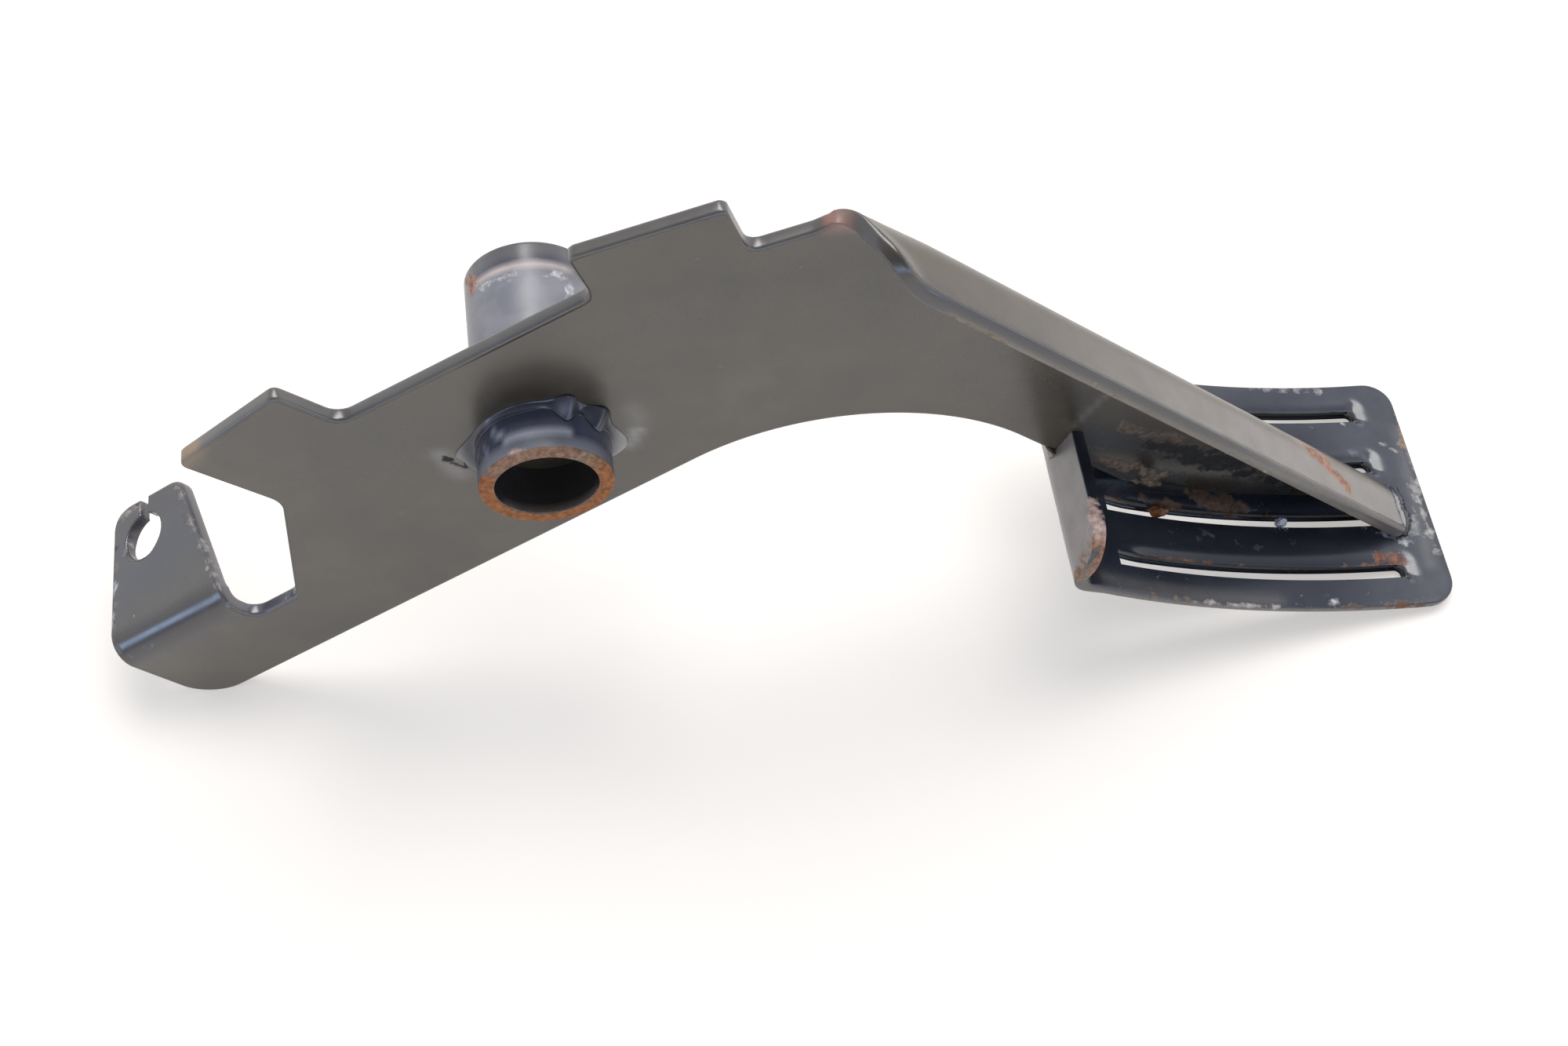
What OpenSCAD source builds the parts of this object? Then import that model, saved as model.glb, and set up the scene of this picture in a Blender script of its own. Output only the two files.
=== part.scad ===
// Accelerator pedal lever: one folded steel arm on a welded pivot tube, with a
// curved, louvred foot pad welded to its long end.
// X runs along the lever towards the pad, Y along the pivot away from the pad's
// near edge, and Z up. The origin is the pivot axis in the middle of the arm's
// sheet. The lever lies as it rests: on the arm's tail and on the pad's end.

/* [Arm sheet] */
// Thickness of the arm's sheet
sheet_t = 3; // [2:0.1:4]
// Inside radius of the two folds
fold_r = 3; // [1.5:0.1:4]
// Width of the gap that a weld fills between two pieces
weld_gap = 0.1; // [0.05:0.01:0.2]

/* [Arm outline] */
// Rise of the arm's lower edge above the ground, in degrees
arm_slope = 29.4; // [26:0.1:32]
// Distance from the pivot to the lower edge
arm_drop = 26.5; // [24:0.5:32]
// Distance from the pivot to the tail's end, along the arm
tail_reach = 118.5; // [112:0.5:142]
// Corner radius of the tail
tail_r = 9; // [4:0.5:12]
// Distance from the pivot to the upper edge
arm_rise = 29.9; // [26:0.1:31]
// Slope of the upper edge, in degrees
rise_slope = 26.3; // [24:0.1:28]
// Radius of the arch between the lower edge and the web
arch_r = 52; // [40:1:60]

/* [Hook] */
// Fall of the hook's two sides, in degrees
hook_fall = 52.5; // [48:0.5:56]
// Distance from the pivot to the hook's right side
hook_reach = 17.5; // [16:0.1:19]
// Width of the hook between its sides
hook_w = 28; // [24:0.5:30]
// Slope of the hook's end edge, in degrees
hook_slope = 34.6; // [30:0.1:36]
// Distance from the pivot to the hook's end edge
hook_out = 47.4; // [44:0.1:50]
// Slope of the wall between the hook and the notch, in degrees
throat_slope = 77.6; // [74:0.1:82]
// Distance from the pivot to that wall
throat_reach = 49.4; // [47:0.1:52]

/* [Shoulder] */
// Slope of the two shoulder edges, in degrees
shoulder_slope = 12; // [8:0.5:14]
// Distance from the pivot to the low shoulder edge
shoulder_low = 36.7; // [35:0.1:38]
// Height of the raised step above the low edge
step_h = 12.2; // [8:0.1:14]
// Distance along the shoulder from the pivot to the step
step_start = 24.8; // [23:0.1:27]
// Length of the step
step_len = 28.2; // [22:0.1:30]

/* [Cable tab] */
// Distance from the pivot to the tab's outer face, across the arm
tab_face = 2.2; // [0:0.1:4]
// Width of the tab at its fold
tab_w = 33; // [30:0.5:40]
// Width that the tab's right edge loses on its way out
tab_taper = 12.5; // [8:0.5:16]
// Reach of the tab from the front of the arm's sheet
tab_len = 36.4; // [34:0.2:44]
// Radius of the tab's two outer corners
tab_corner_r = 5; // [2:0.5:6]
// Depth of the relief beside the fold
relief_depth = 4.2; // [4:0.1:6]
// Diameter of the keyhole
keyhole_d = 11; // [8:0.1:12]
// Distance from the tail's end to the keyhole's centre
keyhole_in = 9.5; // [8.5:0.1:12]
// Distance from the tab's outer edge to the keyhole's centre
keyhole_back = 9.8; // [8:0.1:12]
// Width of the slot that opens the keyhole
keyhole_slot = 2.4; // [1.5:0.1:4]

/* [Pivot tube] */
// Outside diameter of the tube
tube_od = 25.4; // [20:0.1:31]
// Wall of the tube
tube_wall = 3; // [2:0.1:4]
// Stand-out of the tube in front of the arm
tube_front = 10.2; // [8:0.1:14]
// Stand-out of the tube behind the arm
tube_rear = 34.9; // [25:0.1:45]

/* [Flange] */
// Fall of the flange towards the pad, in degrees
flange_fall = 48.6; // [46:0.1:50]
// Distance from the pivot to the flange's outer face
flange_reach = 83.8; // [78:0.1:88]
// Outside width of the flange
flange_w = 15; // [12:0.5:20]
// Height of the web, from the flange's outer face to the web's free edge
web_h = 32.1; // [28:0.1:36]
// Length that the flange's free edge starts behind its fold
flange_lag = 9; // [3:0.5:12]
// Radius of the flange's free corner
flange_corner_r = 6; // [1:0.5:8]

/* [Foot pad] */
// Thickness of the pad's sheet
pad_t = 2.7; // [2:0.1:3.2]
// Radius of the pad's hollow side
pad_r = 167.7; // [160:0.1:176]
// Distance from the pivot to the pad's outer end, along the ground
pad_reach = 181.6; // [176:0.1:188]
// Width of the pad
pad_w = 56.6; // [54:0.1:72]
// Distance of the pad's middle in front of the arm's middle
pad_shift = 1.3; // [0:0.1:3]
// Tilt of the pad's outer end, in degrees
pad_toe = 7.8; // [6:0.1:10]
// Turn of the pad from its outer end to the lip, in degrees
pad_sweep = 30.35; // [28:0.05:36]
// Radius of the pad's outer corners
pad_corner_r = 6; // [3:0.5:8]
// Turn of the lip away from the pad, in degrees
lip_turn = 77.8; // [70:0.1:90]
// Height of the lip above its fold
lip_h = 10.1; // [8:0.1:14]
// Radius of the lip's corners
lip_corner_r = 8.5; // [4:0.5:9]

/* [Louvres] */
// Number of louvres
louvres = 4; // [4]
// Spacing of the louvres
louvre_pitch = 13.35; // [13:0.05:16]
// Width of one louvre, from its sheared edge to its drawn edge
louvre_w = 4; // [3:0.1:5]
// Radius of the drawn edge
louvre_r = 1; // [0.6:0.1:1.4]
// Depth that the drawn edge reaches below the pad's foot side
louvre_drop = 1; // [0.6:0.1:1.6]
// Angle between the pad's outer end and the louvres, in degrees
louvre_toe = 3; // [2.6:0.1:5]
// Angle that the louvres cover, in degrees
louvre_sweep = 24.4; // [20:0.1:26]

/* [Welds] */
// Leg of the pivot's fillet welds
pivot_leg = 4.6; // [3:0.1:6]
// Leg of the stitch between the arm and the pad
pad_leg = 3.6; // [2:0.1:4.5]
// Leg of the weld at the flange's end, along the pad
toe_leg = 4.6; // [3:0.1:6]
// Leg of the spot between the arm and the lip
spot_leg = 2.9; // [2:0.1:4]
// Bulge of a weld's face
weld_bulge = 0.5; // [0:0.1:1]

/* [Hidden] */
$fn = 96;
arc_step = 6;
fold_out = fold_r + sheet_t;
front_y = -sheet_t / 2;
back_y = sheet_t / 2;

// A line is [angle, distance from the pivot], with the distance counted to its left
function line_normal(l) = [-sin(l[0]), cos(l[0])];
function cross2(a, b) = a[0] * b[1] - a[1] * b[0];
function meet(l, m) =
    let (a = line_normal(l), b = line_normal(m), d = cross2(a, b))
    [(l[1] * b[1] - m[1] * a[1]) / d, (a[0] * m[1] - b[0] * l[1]) / d];
function unit(v) = v / norm(v);

// Points of the arc that rounds corner b between its neighbours a and c
function arc_corner(a, b, c, r) =
    let (p = unit(a - b), q = unit(c - b), half = acos(p * q) / 2)
    let (mid = b + unit(p + q) * r / sin(half), from = b + p * r / tan(half), to = b + q * r / tan(half))
    let (a0 = atan2(from[1] - mid[1], from[0] - mid[0]), a1 = atan2(to[1] - mid[1], to[0] - mid[0]))
    let (turn = a1 - a0 > 180 ? a1 - a0 - 360 : a1 - a0 < -180 ? a1 - a0 + 360 : a1 - a0)
    let (steps = ceil(abs(turn) / arc_step))
    [for (i = [0:steps]) mid + r * [cos(a0 + turn * i / steps), sin(a0 + turn * i / steps)]];

// Outline with each corner [point, radius] rounded, where the radius isn't 0
function rounded(corners) =
    let (n = len(corners))
    [for (i = [0:n - 1])
        let (b = corners[i], a = corners[(i + n - 1) % n][0], c = corners[(i + 1) % n][0])
        each b[1] == 0 ? [b[0]] : arc_corner(a, b[0], c, b[1])];

// Edges of the arm's sheet, in side view
lower_edge = [arm_slope, -arm_drop];
upper_edge = [rise_slope, arm_rise];
tail_edge = [arm_slope + 90, tail_reach];
tab_fold = [arm_slope, tab_face - fold_out];
relief_floor = [arm_slope, tab_face - fold_out - relief_depth];
relief_side = [arm_slope + 90, tail_reach - tab_w];
throat = [throat_slope, throat_reach];
hook_near = [-hook_fall, -hook_reach - hook_w];
hook_far = [-hook_fall, -hook_reach];
hook_end = [hook_slope, hook_out];
low_shoulder = [shoulder_slope, shoulder_low];
high_shoulder = [shoulder_slope, shoulder_low + step_h];
step_rise = [shoulder_slope + 90, -step_start];
step_fall = [shoulder_slope + 90, -step_start - step_len];
flange_edge = [-flange_fall, flange_reach - fold_out - 0.5];
web_edge = [-flange_fall, flange_reach - web_h];

// The ground is where the rounded tail touches down, and the pad's end stands on it
tail_mid = meet([arm_slope + 90, tail_reach - tail_r], [arm_slope, -arm_drop + tail_r]);
ground_z = tail_mid[1] - tail_r;
pad_out_r = pad_r + pad_t;
pad_x = pad_reach + pad_out_r * sin(pad_toe);
pad_z = ground_z + pad_out_r * cos(pad_toe);
heel_turn = pad_toe + pad_sweep;
pad_y0 = -pad_shift - pad_w / 2;
pad_y1 = pad_y0 + pad_w;

// Where a face along the flange, n from the pivot, lands on an arc of the pad, as a length along it
flange_dir = [cos(flange_fall), -sin(flange_fall)];
flange_up = [sin(flange_fall), cos(flange_fall)];
pad_mid = [pad_x, pad_z];
function land(n, r) = pad_mid * flange_dir + sqrt(r * r - pow(n - pad_mid * flange_up, 2));
flange_end = land(flange_reach - sheet_t, pad_r - weld_gap);
past_end = [90 - flange_fall, -flange_end];
flange_start = meet(low_shoulder, [-flange_fall, flange_reach - fold_out]) * flange_dir;

// The lip's fold turns about this point, at the pad's inner end
lip_out_r = fold_r + pad_t;
lip_mid = pad_mid + (pad_r - fold_r) * [-sin(heel_turn), -cos(heel_turn)];
lip_slope = 180 - heel_turn - lip_turn;
louvre_start = pad_sweep - louvre_toe - louvre_sweep;
louvre_lap = 2.6;
heel_start = 6.5;
heel_sweep = 4.5;

// Overlap of the lip with its fold, and how far its faces stay inside the fold's there
lap = 0.2;
lap_step = 0.01;

// Corners of the arm's sheet, each between two edges and with its radius, in a frame along the arm
function along(l) = [l[0] - arm_slope, l[1]];
function corner(l, m, r) = [meet(along(l), along(m)), r];

arm_outline = rounded([
    corner(tail_edge, lower_edge, tail_r),
    corner(lower_edge, web_edge, arch_r),
    corner(web_edge, past_end, 0),
    corner(flange_edge, past_end, 0),
    corner(flange_edge, low_shoulder, 0),
    corner(low_shoulder, step_fall, 2.5),
    corner(step_fall, high_shoulder, 1.2),
    corner(high_shoulder, step_rise, 1.2),
    corner(step_rise, upper_edge, 3),
    corner(upper_edge, hook_far, 3.5),
    corner(hook_far, hook_end, 1.4),
    corner(hook_end, hook_near, 1.2),
    corner(hook_near, throat, 6),
    corner(throat, relief_floor, 4),
    corner(relief_floor, relief_side, min(4, relief_depth - 0.1)),
    corner(relief_side, tab_fold, 0),
    corner(tab_fold, tail_edge, 0),
]);

// Draws an outline of the side view between y0 and y1
module side_view(y0, y1) {
    translate([0, y1, 0])
        rotate([90, 0, 0])
            linear_extrude(y1 - y0)
                children();
}

// Frames whose X runs along the arm, or down the flange, and whose Z points out of the lever
module along_arm() {
    rotate([0, -arm_slope, 0]) children();
}

module along_flange() {
    rotate([0, flange_fall, 0]) children();
}

// A frame at the pad's centre of curvature, with the inner end straight below it
module at_pad() {
    translate([pad_x, 0, pad_z]) rotate([0, heel_turn, 0]) children();
}

// Turns a profile [radius, y] about an axis along Y, by some degrees on from a start past straight down
module swing(start, turn) {
    rotate([-90, 0, 0])
        rotate([0, 0, 90 - start])
            rotate_extrude(angle = -turn, $fn = 360)
                children();
}

// A fold: a quarter of a tube along X, above z = 0 and on one side of y = 0, on a strip of its sheet
module fold(x0, x1, side) {
    translate([x0, side < 0 ? -fold_out : fold_r, -1])
        cube([x1 - x0, sheet_t, 1]);
    intersection() {
        translate([x0, 0, 0])
            rotate([0, 90, 0])
                difference() {
                    cylinder(r = fold_out, h = x1 - x0);
                    translate([0, 0, -1]) cylinder(r = fold_r, h = x1 - x0 + 2);
                }
        translate([x0, side < 0 ? -fold_out : 0, 0])
            cube([x1 - x0, fold_out, fold_out]);
    }
}

// The cable tab folds back from the tail, narrows outwards and holds an open keyhole
module cable_tab() {
    fold_y = front_y + fold_out;
    tab_y = front_y + tab_len;
    keyhole = [-tail_reach + keyhole_in, tab_y - keyhole_back];
    along_arm() {
        translate([0, fold_y, tab_face - fold_out])
            fold(-tail_reach, -tail_reach + tab_w, -1);
        translate([0, 0, tab_face - sheet_t])
            difference() {
                linear_extrude(sheet_t)
                    polygon(rounded([
                        [[-tail_reach, fold_y], 0],
                        [[-tail_reach, tab_y], tab_corner_r],
                        [[-tail_reach + tab_w - tab_taper, tab_y], tab_corner_r],
                        [[-tail_reach + tab_w, fold_y], 0],
                    ]));
                translate([keyhole[0], keyhole[1], -1])
                    cylinder(d = keyhole_d, h = sheet_t + 2);
                translate([keyhole[0] - keyhole_slot / 2, keyhole[1], -1])
                    cube([keyhole_slot, keyhole_back + 1, sheet_t + 2]);
            }
    }
}

// The flange folds forward from the web and starts with a slanted end
module flange() {
    fold_y = back_y - fold_out;
    free_y = back_y - flange_w;
    along_flange()
        intersection() {
            union() {
                translate([0, fold_y, flange_reach - fold_out])
                    fold(flange_start, flange_end, 1);
                translate([flange_start, free_y, flange_reach - sheet_t])
                    cube([flange_end - flange_start, fold_y - free_y, sheet_t]);
            }
            translate([0, 0, flange_reach - fold_out - 1])
                linear_extrude(fold_out + 1)
                    polygon(rounded([
                        [[flange_start, back_y], 0],
                        [[flange_start + flange_lag, free_y], flange_corner_r],
                        [[flange_end + 1, free_y], 0],
                        [[flange_end + 1, back_y], 0],
                    ]));
        }
}

// The room that the arm leaves for the pad: below the pad's hollow side, and round the lip
module pad_room() {
    at_pad()
        swing(-1, heel_turn + 1)
            translate([pad_r - weld_gap, pad_y0])
                square([fold_out * 8, pad_w]);
    translate([lip_mid[0], pad_y0, lip_mid[1]])
        rotate([0, -lip_slope, 0])
            translate([-fold_r, 0, fold_r - weld_gap])
                cube([lip_h + fold_r + weld_gap, pad_w, pad_t + 2 * weld_gap]);
}

module arm() {
    color("#55524d")
        difference() {
            union() {
                along_arm() side_view(front_y, back_y) polygon(arm_outline);
                cable_tab();
                flange();
            }
            side_view(front_y - 1, back_y + 1) circle(d = tube_od + 2 * weld_gap);
            pad_room();
        }
}

module pivot_tube() {
    color("#4a4c52")
        side_view(front_y - tube_front, back_y + tube_rear)
            difference() {
                circle(d = tube_od);
                circle(d = tube_od - 2 * tube_wall);
            }
}

// Sheared edge of louvre i
function louvre_y(i) = -pad_shift - ((louvres - 1) * louvre_pitch + louvre_w) / 2 + i * louvre_pitch;

// Section [radius, y] of a drawn edge at y, which overlaps the land beside it
function lip_section(y) = concat(
    [for (a = [0:10:90]) [pad_r + louvre_r * (1 - cos(a)), y + louvre_r * (1 - sin(a))]],
    [[pad_out_r + louvre_drop, y], [pad_out_r + louvre_drop, y + 1]],
    [[pad_out_r, y + louvre_lap], [pad_r, y + louvre_lap]]);

// What a rounded corner at the pad's outer end leaves off
module corner_waste(y, side) {
    r = pad_corner_r;
    translate([pad_x - pad_r * sin(pad_toe), y, ground_z - 1])
        linear_extrude(fold_out * 2)
            polygon(concat(
                [[1, -side * r], [1, side], [-r, side]],
                [for (a = [90:-arc_step:0]) [r * cos(a) - r, side * (r * sin(a) - r)]]));
}

// The pad's sheet: its curve, the lip's fold and the lip itself
module pad_sheet() {
    difference() {
        at_pad()
            swing(0, pad_sweep)
                translate([pad_r, pad_y0])
                    square([pad_t, pad_w]);
        corner_waste(pad_y0, -1);
        corner_waste(pad_y1, 1);
    }
    at_pad()
        translate([0, 0, fold_r - pad_r]) {
            swing(0, -lip_turn)
                translate([fold_r, pad_y0])
                    square([pad_t, pad_w]);
            rotate([0, lip_turn - 180, 0])
                translate([0, 0, fold_r + lap_step])
                    linear_extrude(pad_t - 2 * lap_step)
                        polygon(rounded([
                            [[-lap, pad_y0], 0],
                            [[lip_h, pad_y0], lip_corner_r],
                            [[lip_h, pad_y1], lip_corner_r],
                            [[-lap, pad_y1], 0],
                        ]));
        }
}

module foot_pad() {
    color("#33373f") {
        difference() {
            pad_sheet();
            at_pad()
                for (i = [0:louvres - 1])
                    swing(louvre_start, louvre_sweep)
                        translate([pad_r - 1, louvre_y(i)])
                            square([pad_t + 2, louvre_w + louvre_r]);
        }
        at_pad()
            for (i = [0:louvres - 1]) {
                swing(louvre_start - 0.5, louvre_sweep + 1)
                    polygon(lip_section(louvre_y(i) + louvre_w));
                rotate([0, -louvre_start - louvre_sweep, 0])
                    translate([0.1, louvre_y(i), -pad_out_r - louvre_drop])
                        cube([1.2, louvre_w + 0.6, louvre_drop + 0.5]);
            }
    }
}

// Section of a fillet weld in the corner at [0, 0], with its legs lp along p and lq along q
function bead(p, q, lp, lq) =
    let (steps = 8, out = unit(p + q))
    concat([[0, 0]], [for (i = [0:steps])
        lp * p * (1 - i / steps) + lq * q * i / steps + out * weld_bulge * sin(180 * i / steps)]);

module pivot_weld(face, side) {
    color("#3d4047")
        translate([0, face + side * weld_gap / 2, 0])
            rotate([-90, 0, 0])
                rotate_extrude()
                    translate([tube_od / 2 + weld_gap / 2, 0])
                        polygon(bead([1, 0], [0, side], pivot_leg, pivot_leg));
}

module front_weld() {
    pivot_weld(front_y, -1);
}

module rear_weld() {
    pivot_weld(back_y, 1);
}

// The bead across the flange's square end, in the corner between that end and the pad
module toe_weld() {
    n = flange_reach - sheet_t + weld_gap;
    corner = (flange_end + weld_gap) * flange_dir + n * flange_up;
    pad_dir = unit([pad_mid[1] - corner[1], corner[0] - pad_mid[0]]);
    color("#3d4047")
        side_view(back_y - flange_w + 0.5, back_y - fold_r / 2)
            translate(corner)
                polygon(bead(flange_up, pad_dir, sheet_t, toe_leg));
}

// The stitch in the corner between the arm's front and the pad's hollow side
module heel_weld() {
    color("#3d4047")
        at_pad()
            swing(heel_start, heel_sweep)
                translate([pad_r - weld_gap, front_y - weld_gap])
                    polygon(bead([-1, 0], [0, -1], pad_leg, pad_leg));
}

// The spot in the corner between the web's free edge and the lip's outer face
module lip_weld() {
    lip_out = [lip_slope, lip_mid * line_normal([lip_slope, 0]) + lip_out_r + weld_gap];
    corner = meet(lip_out, [-flange_fall, flange_reach - web_h - weld_gap]);
    color("#3d4047")
        side_view(front_y - 0.5, back_y + 0.5)
            translate(corner)
                polygon(bead(-flange_dir, [-cos(lip_slope), -sin(lip_slope)], spot_leg, spot_leg));
}

arm();
pivot_tube();
foot_pad();
front_weld();
rear_weld();
toe_weld();
heel_weld();
lip_weld();
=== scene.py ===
"""Looks of the accelerator pedal: pressed and welded lever, pivot tube and louvred foot pad."""

import math
from math import pi, radians

import bpy
import numpy as np
from bpy.props import FloatProperty, FloatVectorProperty, IntProperty, PointerProperty
from mathutils import Matrix, Vector
from mathutils.geometry import delaunay_2d_cdt


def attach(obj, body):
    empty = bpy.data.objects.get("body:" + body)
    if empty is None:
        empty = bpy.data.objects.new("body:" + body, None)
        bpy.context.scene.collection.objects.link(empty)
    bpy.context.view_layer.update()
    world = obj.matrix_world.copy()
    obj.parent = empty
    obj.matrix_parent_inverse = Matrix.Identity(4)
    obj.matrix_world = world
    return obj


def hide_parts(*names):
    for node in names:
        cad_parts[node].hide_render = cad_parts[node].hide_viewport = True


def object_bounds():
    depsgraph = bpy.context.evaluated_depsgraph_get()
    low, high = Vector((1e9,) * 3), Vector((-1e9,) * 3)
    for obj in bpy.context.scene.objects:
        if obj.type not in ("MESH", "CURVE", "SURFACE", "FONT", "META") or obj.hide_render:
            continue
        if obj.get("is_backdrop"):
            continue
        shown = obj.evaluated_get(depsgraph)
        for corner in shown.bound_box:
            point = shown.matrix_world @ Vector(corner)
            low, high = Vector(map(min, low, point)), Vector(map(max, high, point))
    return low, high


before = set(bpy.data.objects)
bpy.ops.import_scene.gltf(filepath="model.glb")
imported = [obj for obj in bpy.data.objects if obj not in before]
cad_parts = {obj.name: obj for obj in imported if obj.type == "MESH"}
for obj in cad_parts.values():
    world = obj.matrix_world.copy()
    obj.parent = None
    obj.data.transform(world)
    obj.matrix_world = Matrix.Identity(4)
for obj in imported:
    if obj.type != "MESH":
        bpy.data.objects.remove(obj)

bl_info = {
    "name": "Accelerator Pedal Looks",
    "version": (1, 0, 0),
    "blender": (4, 5, 0),
    "location": "View3D > Sidebar > Pedal",
    "description": "Builds the painted and worn surfaces of a welded accelerator pedal",
    "category": "Object",
}

LOAD_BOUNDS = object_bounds()
MM = 0.001


def amount(name, text, value, low=0.0, **more):
    """A number, without a unit if none is given."""
    return FloatProperty(name=name, description=text, default=value, min=low, **more)


def length(name, text, value):
    """A length in metres whose default is given in millimetres."""
    return FloatProperty(name=name, description=text, default=value * MM, unit="LENGTH", precision=5)


def share(name, text, value):
    """A share between 0 and 1."""
    return amount(name, text, value, max=1.0, subtype="FACTOR")


def tint(name, text, value):
    """A colour, in linear values."""
    return FloatVectorProperty(
        name=name, description=text, default=value, size=3, min=0.0, max=1.0, subtype="COLOR")


class PedalSizes(bpy.types.PropertyGroup):
    """Sizes that the surfaces are worked out from; they match the solid model's."""
    sheet: length("Sheet", "Thickness of the arm's sheet", 3.0)
    shear: length("Sheared edge", "Rounding of the sheet's cut edges", 0.32)
    fold: length("Fold", "Radius of a fold at the middle of the sheet", 4.5)
    grid: length("Grid", "Spacing of the points inside a sheet", 1.5)
    tube_out: length("Tube outside", "Outer radius of the pivot tube", 12.7)
    tube_in: length("Tube inside", "Inner radius of the pivot tube", 9.7)
    tube_front: length("Tube front", "Reach of the tube before the sheet's middle", 11.7)
    tube_back: length("Tube back", "Reach of the tube behind the sheet's middle", 36.4)
    pad_sheet: length("Pad sheet", "Thickness of the pad's sheet", 2.7)
    pad_curve: length("Pad curve", "Radius of the pad at the middle of its sheet", 169.05)
    pad_edge: length("Pad edge", "Rounding of the pad's foot side", 1.5)
    draw: length("Drawn depth", "How far a louvre's edge is drawn down", 0.8)


class PedalFinish(bpy.types.PropertyGroup):
    """Colours and wear of the paint."""
    arm_colour: tint("Arm paint", "Colour of the paint on the arm", (0.0225, 0.0165, 0.009))
    tube_colour: tint("Tube paint", "Colour of the paint on the tube", (0.012, 0.015, 0.03))
    pad_colour: tint("Pad paint", "Colour of the paint on the pad", (0.009, 0.011, 0.018))
    weld_colour: tint("Weld paint", "Colour of the paint on the welds", (0.01, 0.013, 0.024))
    gloss: share("Roughness", "Roughness of the sound paint", 0.3)
    orange_peel: share("Orange peel", "Strength of the paint's fine waviness", 0.07)


class PedalStage(bpy.types.PropertyGroup):
    """Floor, lights and camera."""
    floor_z: length("Floor", "Height of the floor", -78.0)
    floor_glow: share("Floor glow", "Share of the floor's white that shadows leave as it is", 0.42)
    sky: amount("Sky", "Strength of the light from all around", 1.3)
    zenith: share("Zenith", "Brightness of the light from straight above, against the horizon's", 0.45)
    front: share("Front", "Brightness of the light from the viewer's side, against the far side's", 0.35)
    box_power: amount("Soft box", "Power of the light overhead", 11.2)
    side_power: amount("Side strip", "Power of the cool, low light before the part", 2.6)
    glint_power: amount("Glints", "Power of each cool, low light at the sides", 0.75)
    lens: amount("Lens", "Focal length for a 36 mm wide sensor, in mm", 46.89, 1.0)
    seed: IntProperty(name="Seed", description="Seed of the welds' unevenness", default=7, min=0)


def cols(*parts):
    """Columns side by side."""
    return np.stack(parts, 1)


def join(*parts):
    """Rows one after another."""
    return np.concatenate(parts)


def unit(x):
    """Values held between 0 and 1."""
    return np.clip(x, 0, 1)


# ---------------------------------------------------------------- plane geometry

def normal(a):
    """Unit normal of a line that rises at a degrees."""
    a = radians(a)
    return np.array([-math.sin(a), math.cos(a)])


def direction(a):
    """Unit vector along a line that rises at a degrees."""
    a = radians(a)
    return np.array([math.cos(a), math.sin(a)])


def in_space(side, y):
    """Points in space from (x, z) of the side view and y."""
    return cols(side[:, 0], y, side[:, 1])


def meet(p, q):
    """Where two lines (angle in degrees, distance from the pivot) meet."""
    return np.linalg.solve(np.array([normal(p[0]), normal(q[0])]), [p[1], q[1]])


def rounded(corners, step=0.9):
    """Closed outline through corners (x, y, radius): each corner is an arc that touches both edges, and the
    edges are cut into equal lengths of at most step."""
    pts = np.array([c[:2] for c in corners], float)
    rad = np.array([c[2] for c in corners], float)
    back = np.roll(pts, 1, 0) - pts
    on = np.roll(pts, -1, 0) - pts
    back /= np.linalg.norm(back, axis=1)[:, None]
    on /= np.linalg.norm(on, axis=1)[:, None]
    half = np.arccos(np.clip((back * on).sum(1), -1, 1)) / 2
    cut = rad / np.tan(half)
    out = []
    for p, r, b, o, h, c in zip(pts, rad, back, on, half, cut):
        if r < 1e-6:
            out.append(p[None])
            continue
        mid = p + (b + o) / np.linalg.norm(b + o) * r / math.sin(h)
        s, e = p + b * c - mid, p + o * c - mid
        turn = math.atan2(s[0] * e[1] - s[1] * e[0], s @ e)
        n = max(4, int(abs(turn) * r / min(step, 0.25 + r / 6)) + 1)
        a = np.linspace(0, turn, n + 1)
        cos, sin = np.cos(a), np.sin(a)
        out.append(mid + cols(s[0] * cos - s[1] * sin, s[0] * sin + s[1] * cos))
    return subdivide(np.concatenate(out), step)


def subdivide(loop, step):
    """Cuts each edge of a closed loop into equal parts no longer than step."""
    nxt = np.roll(loop, -1, 0)
    n = np.maximum(1, np.ceil(np.linalg.norm(nxt - loop, axis=1) / step).astype(int))
    i = np.repeat(np.arange(len(loop)), n)
    t = (np.arange(n.sum()) - np.repeat(np.cumsum(n) - n, n)) / np.repeat(n, n)
    return loop[i] + (nxt[i] - loop[i]) * t[:, None]


def area(loop):
    """Signed area of a closed loop."""
    x, y = loop.T
    return 0.5 * float(np.sum(x * np.roll(y, -1) - y * np.roll(x, -1)))


def outward(loop):
    """Unit normals of an anticlockwise loop, away from its inside, from the mean of both edges'."""
    d = np.roll(loop, -1, 0) - loop
    d /= np.linalg.norm(d, axis=1)[:, None] + 1e-12
    n = cols(d[:, 1], -d[:, 0])
    m = n + np.roll(n, 1, 0)
    m /= np.linalg.norm(m, axis=1)[:, None] + 1e-12
    return m / np.clip((m * n).sum(1), 0.5, 1)[:, None]


def inside(p, loop):
    """Which points lie inside a closed loop, by the crossings of a ray along +X."""
    a, b = loop, np.roll(loop, -1, 0)
    x, y = p[:, :1], p[:, 1:]
    with np.errstate(divide="ignore", invalid="ignore"):
        at = a[:, 0] + (y - a[:, 1]) * (b[:, 0] - a[:, 0]) / (b[:, 1] - a[:, 1])
    hit = ((a[:, 1] > y) != (b[:, 1] > y)) & (x < at)
    return hit.sum(1) % 2 == 1


# A cut edge: how far the skins stop short of its rounding, and the points of a quarter turn
RIM_IN, EDGE_POINTS = 0.25, 5


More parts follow.
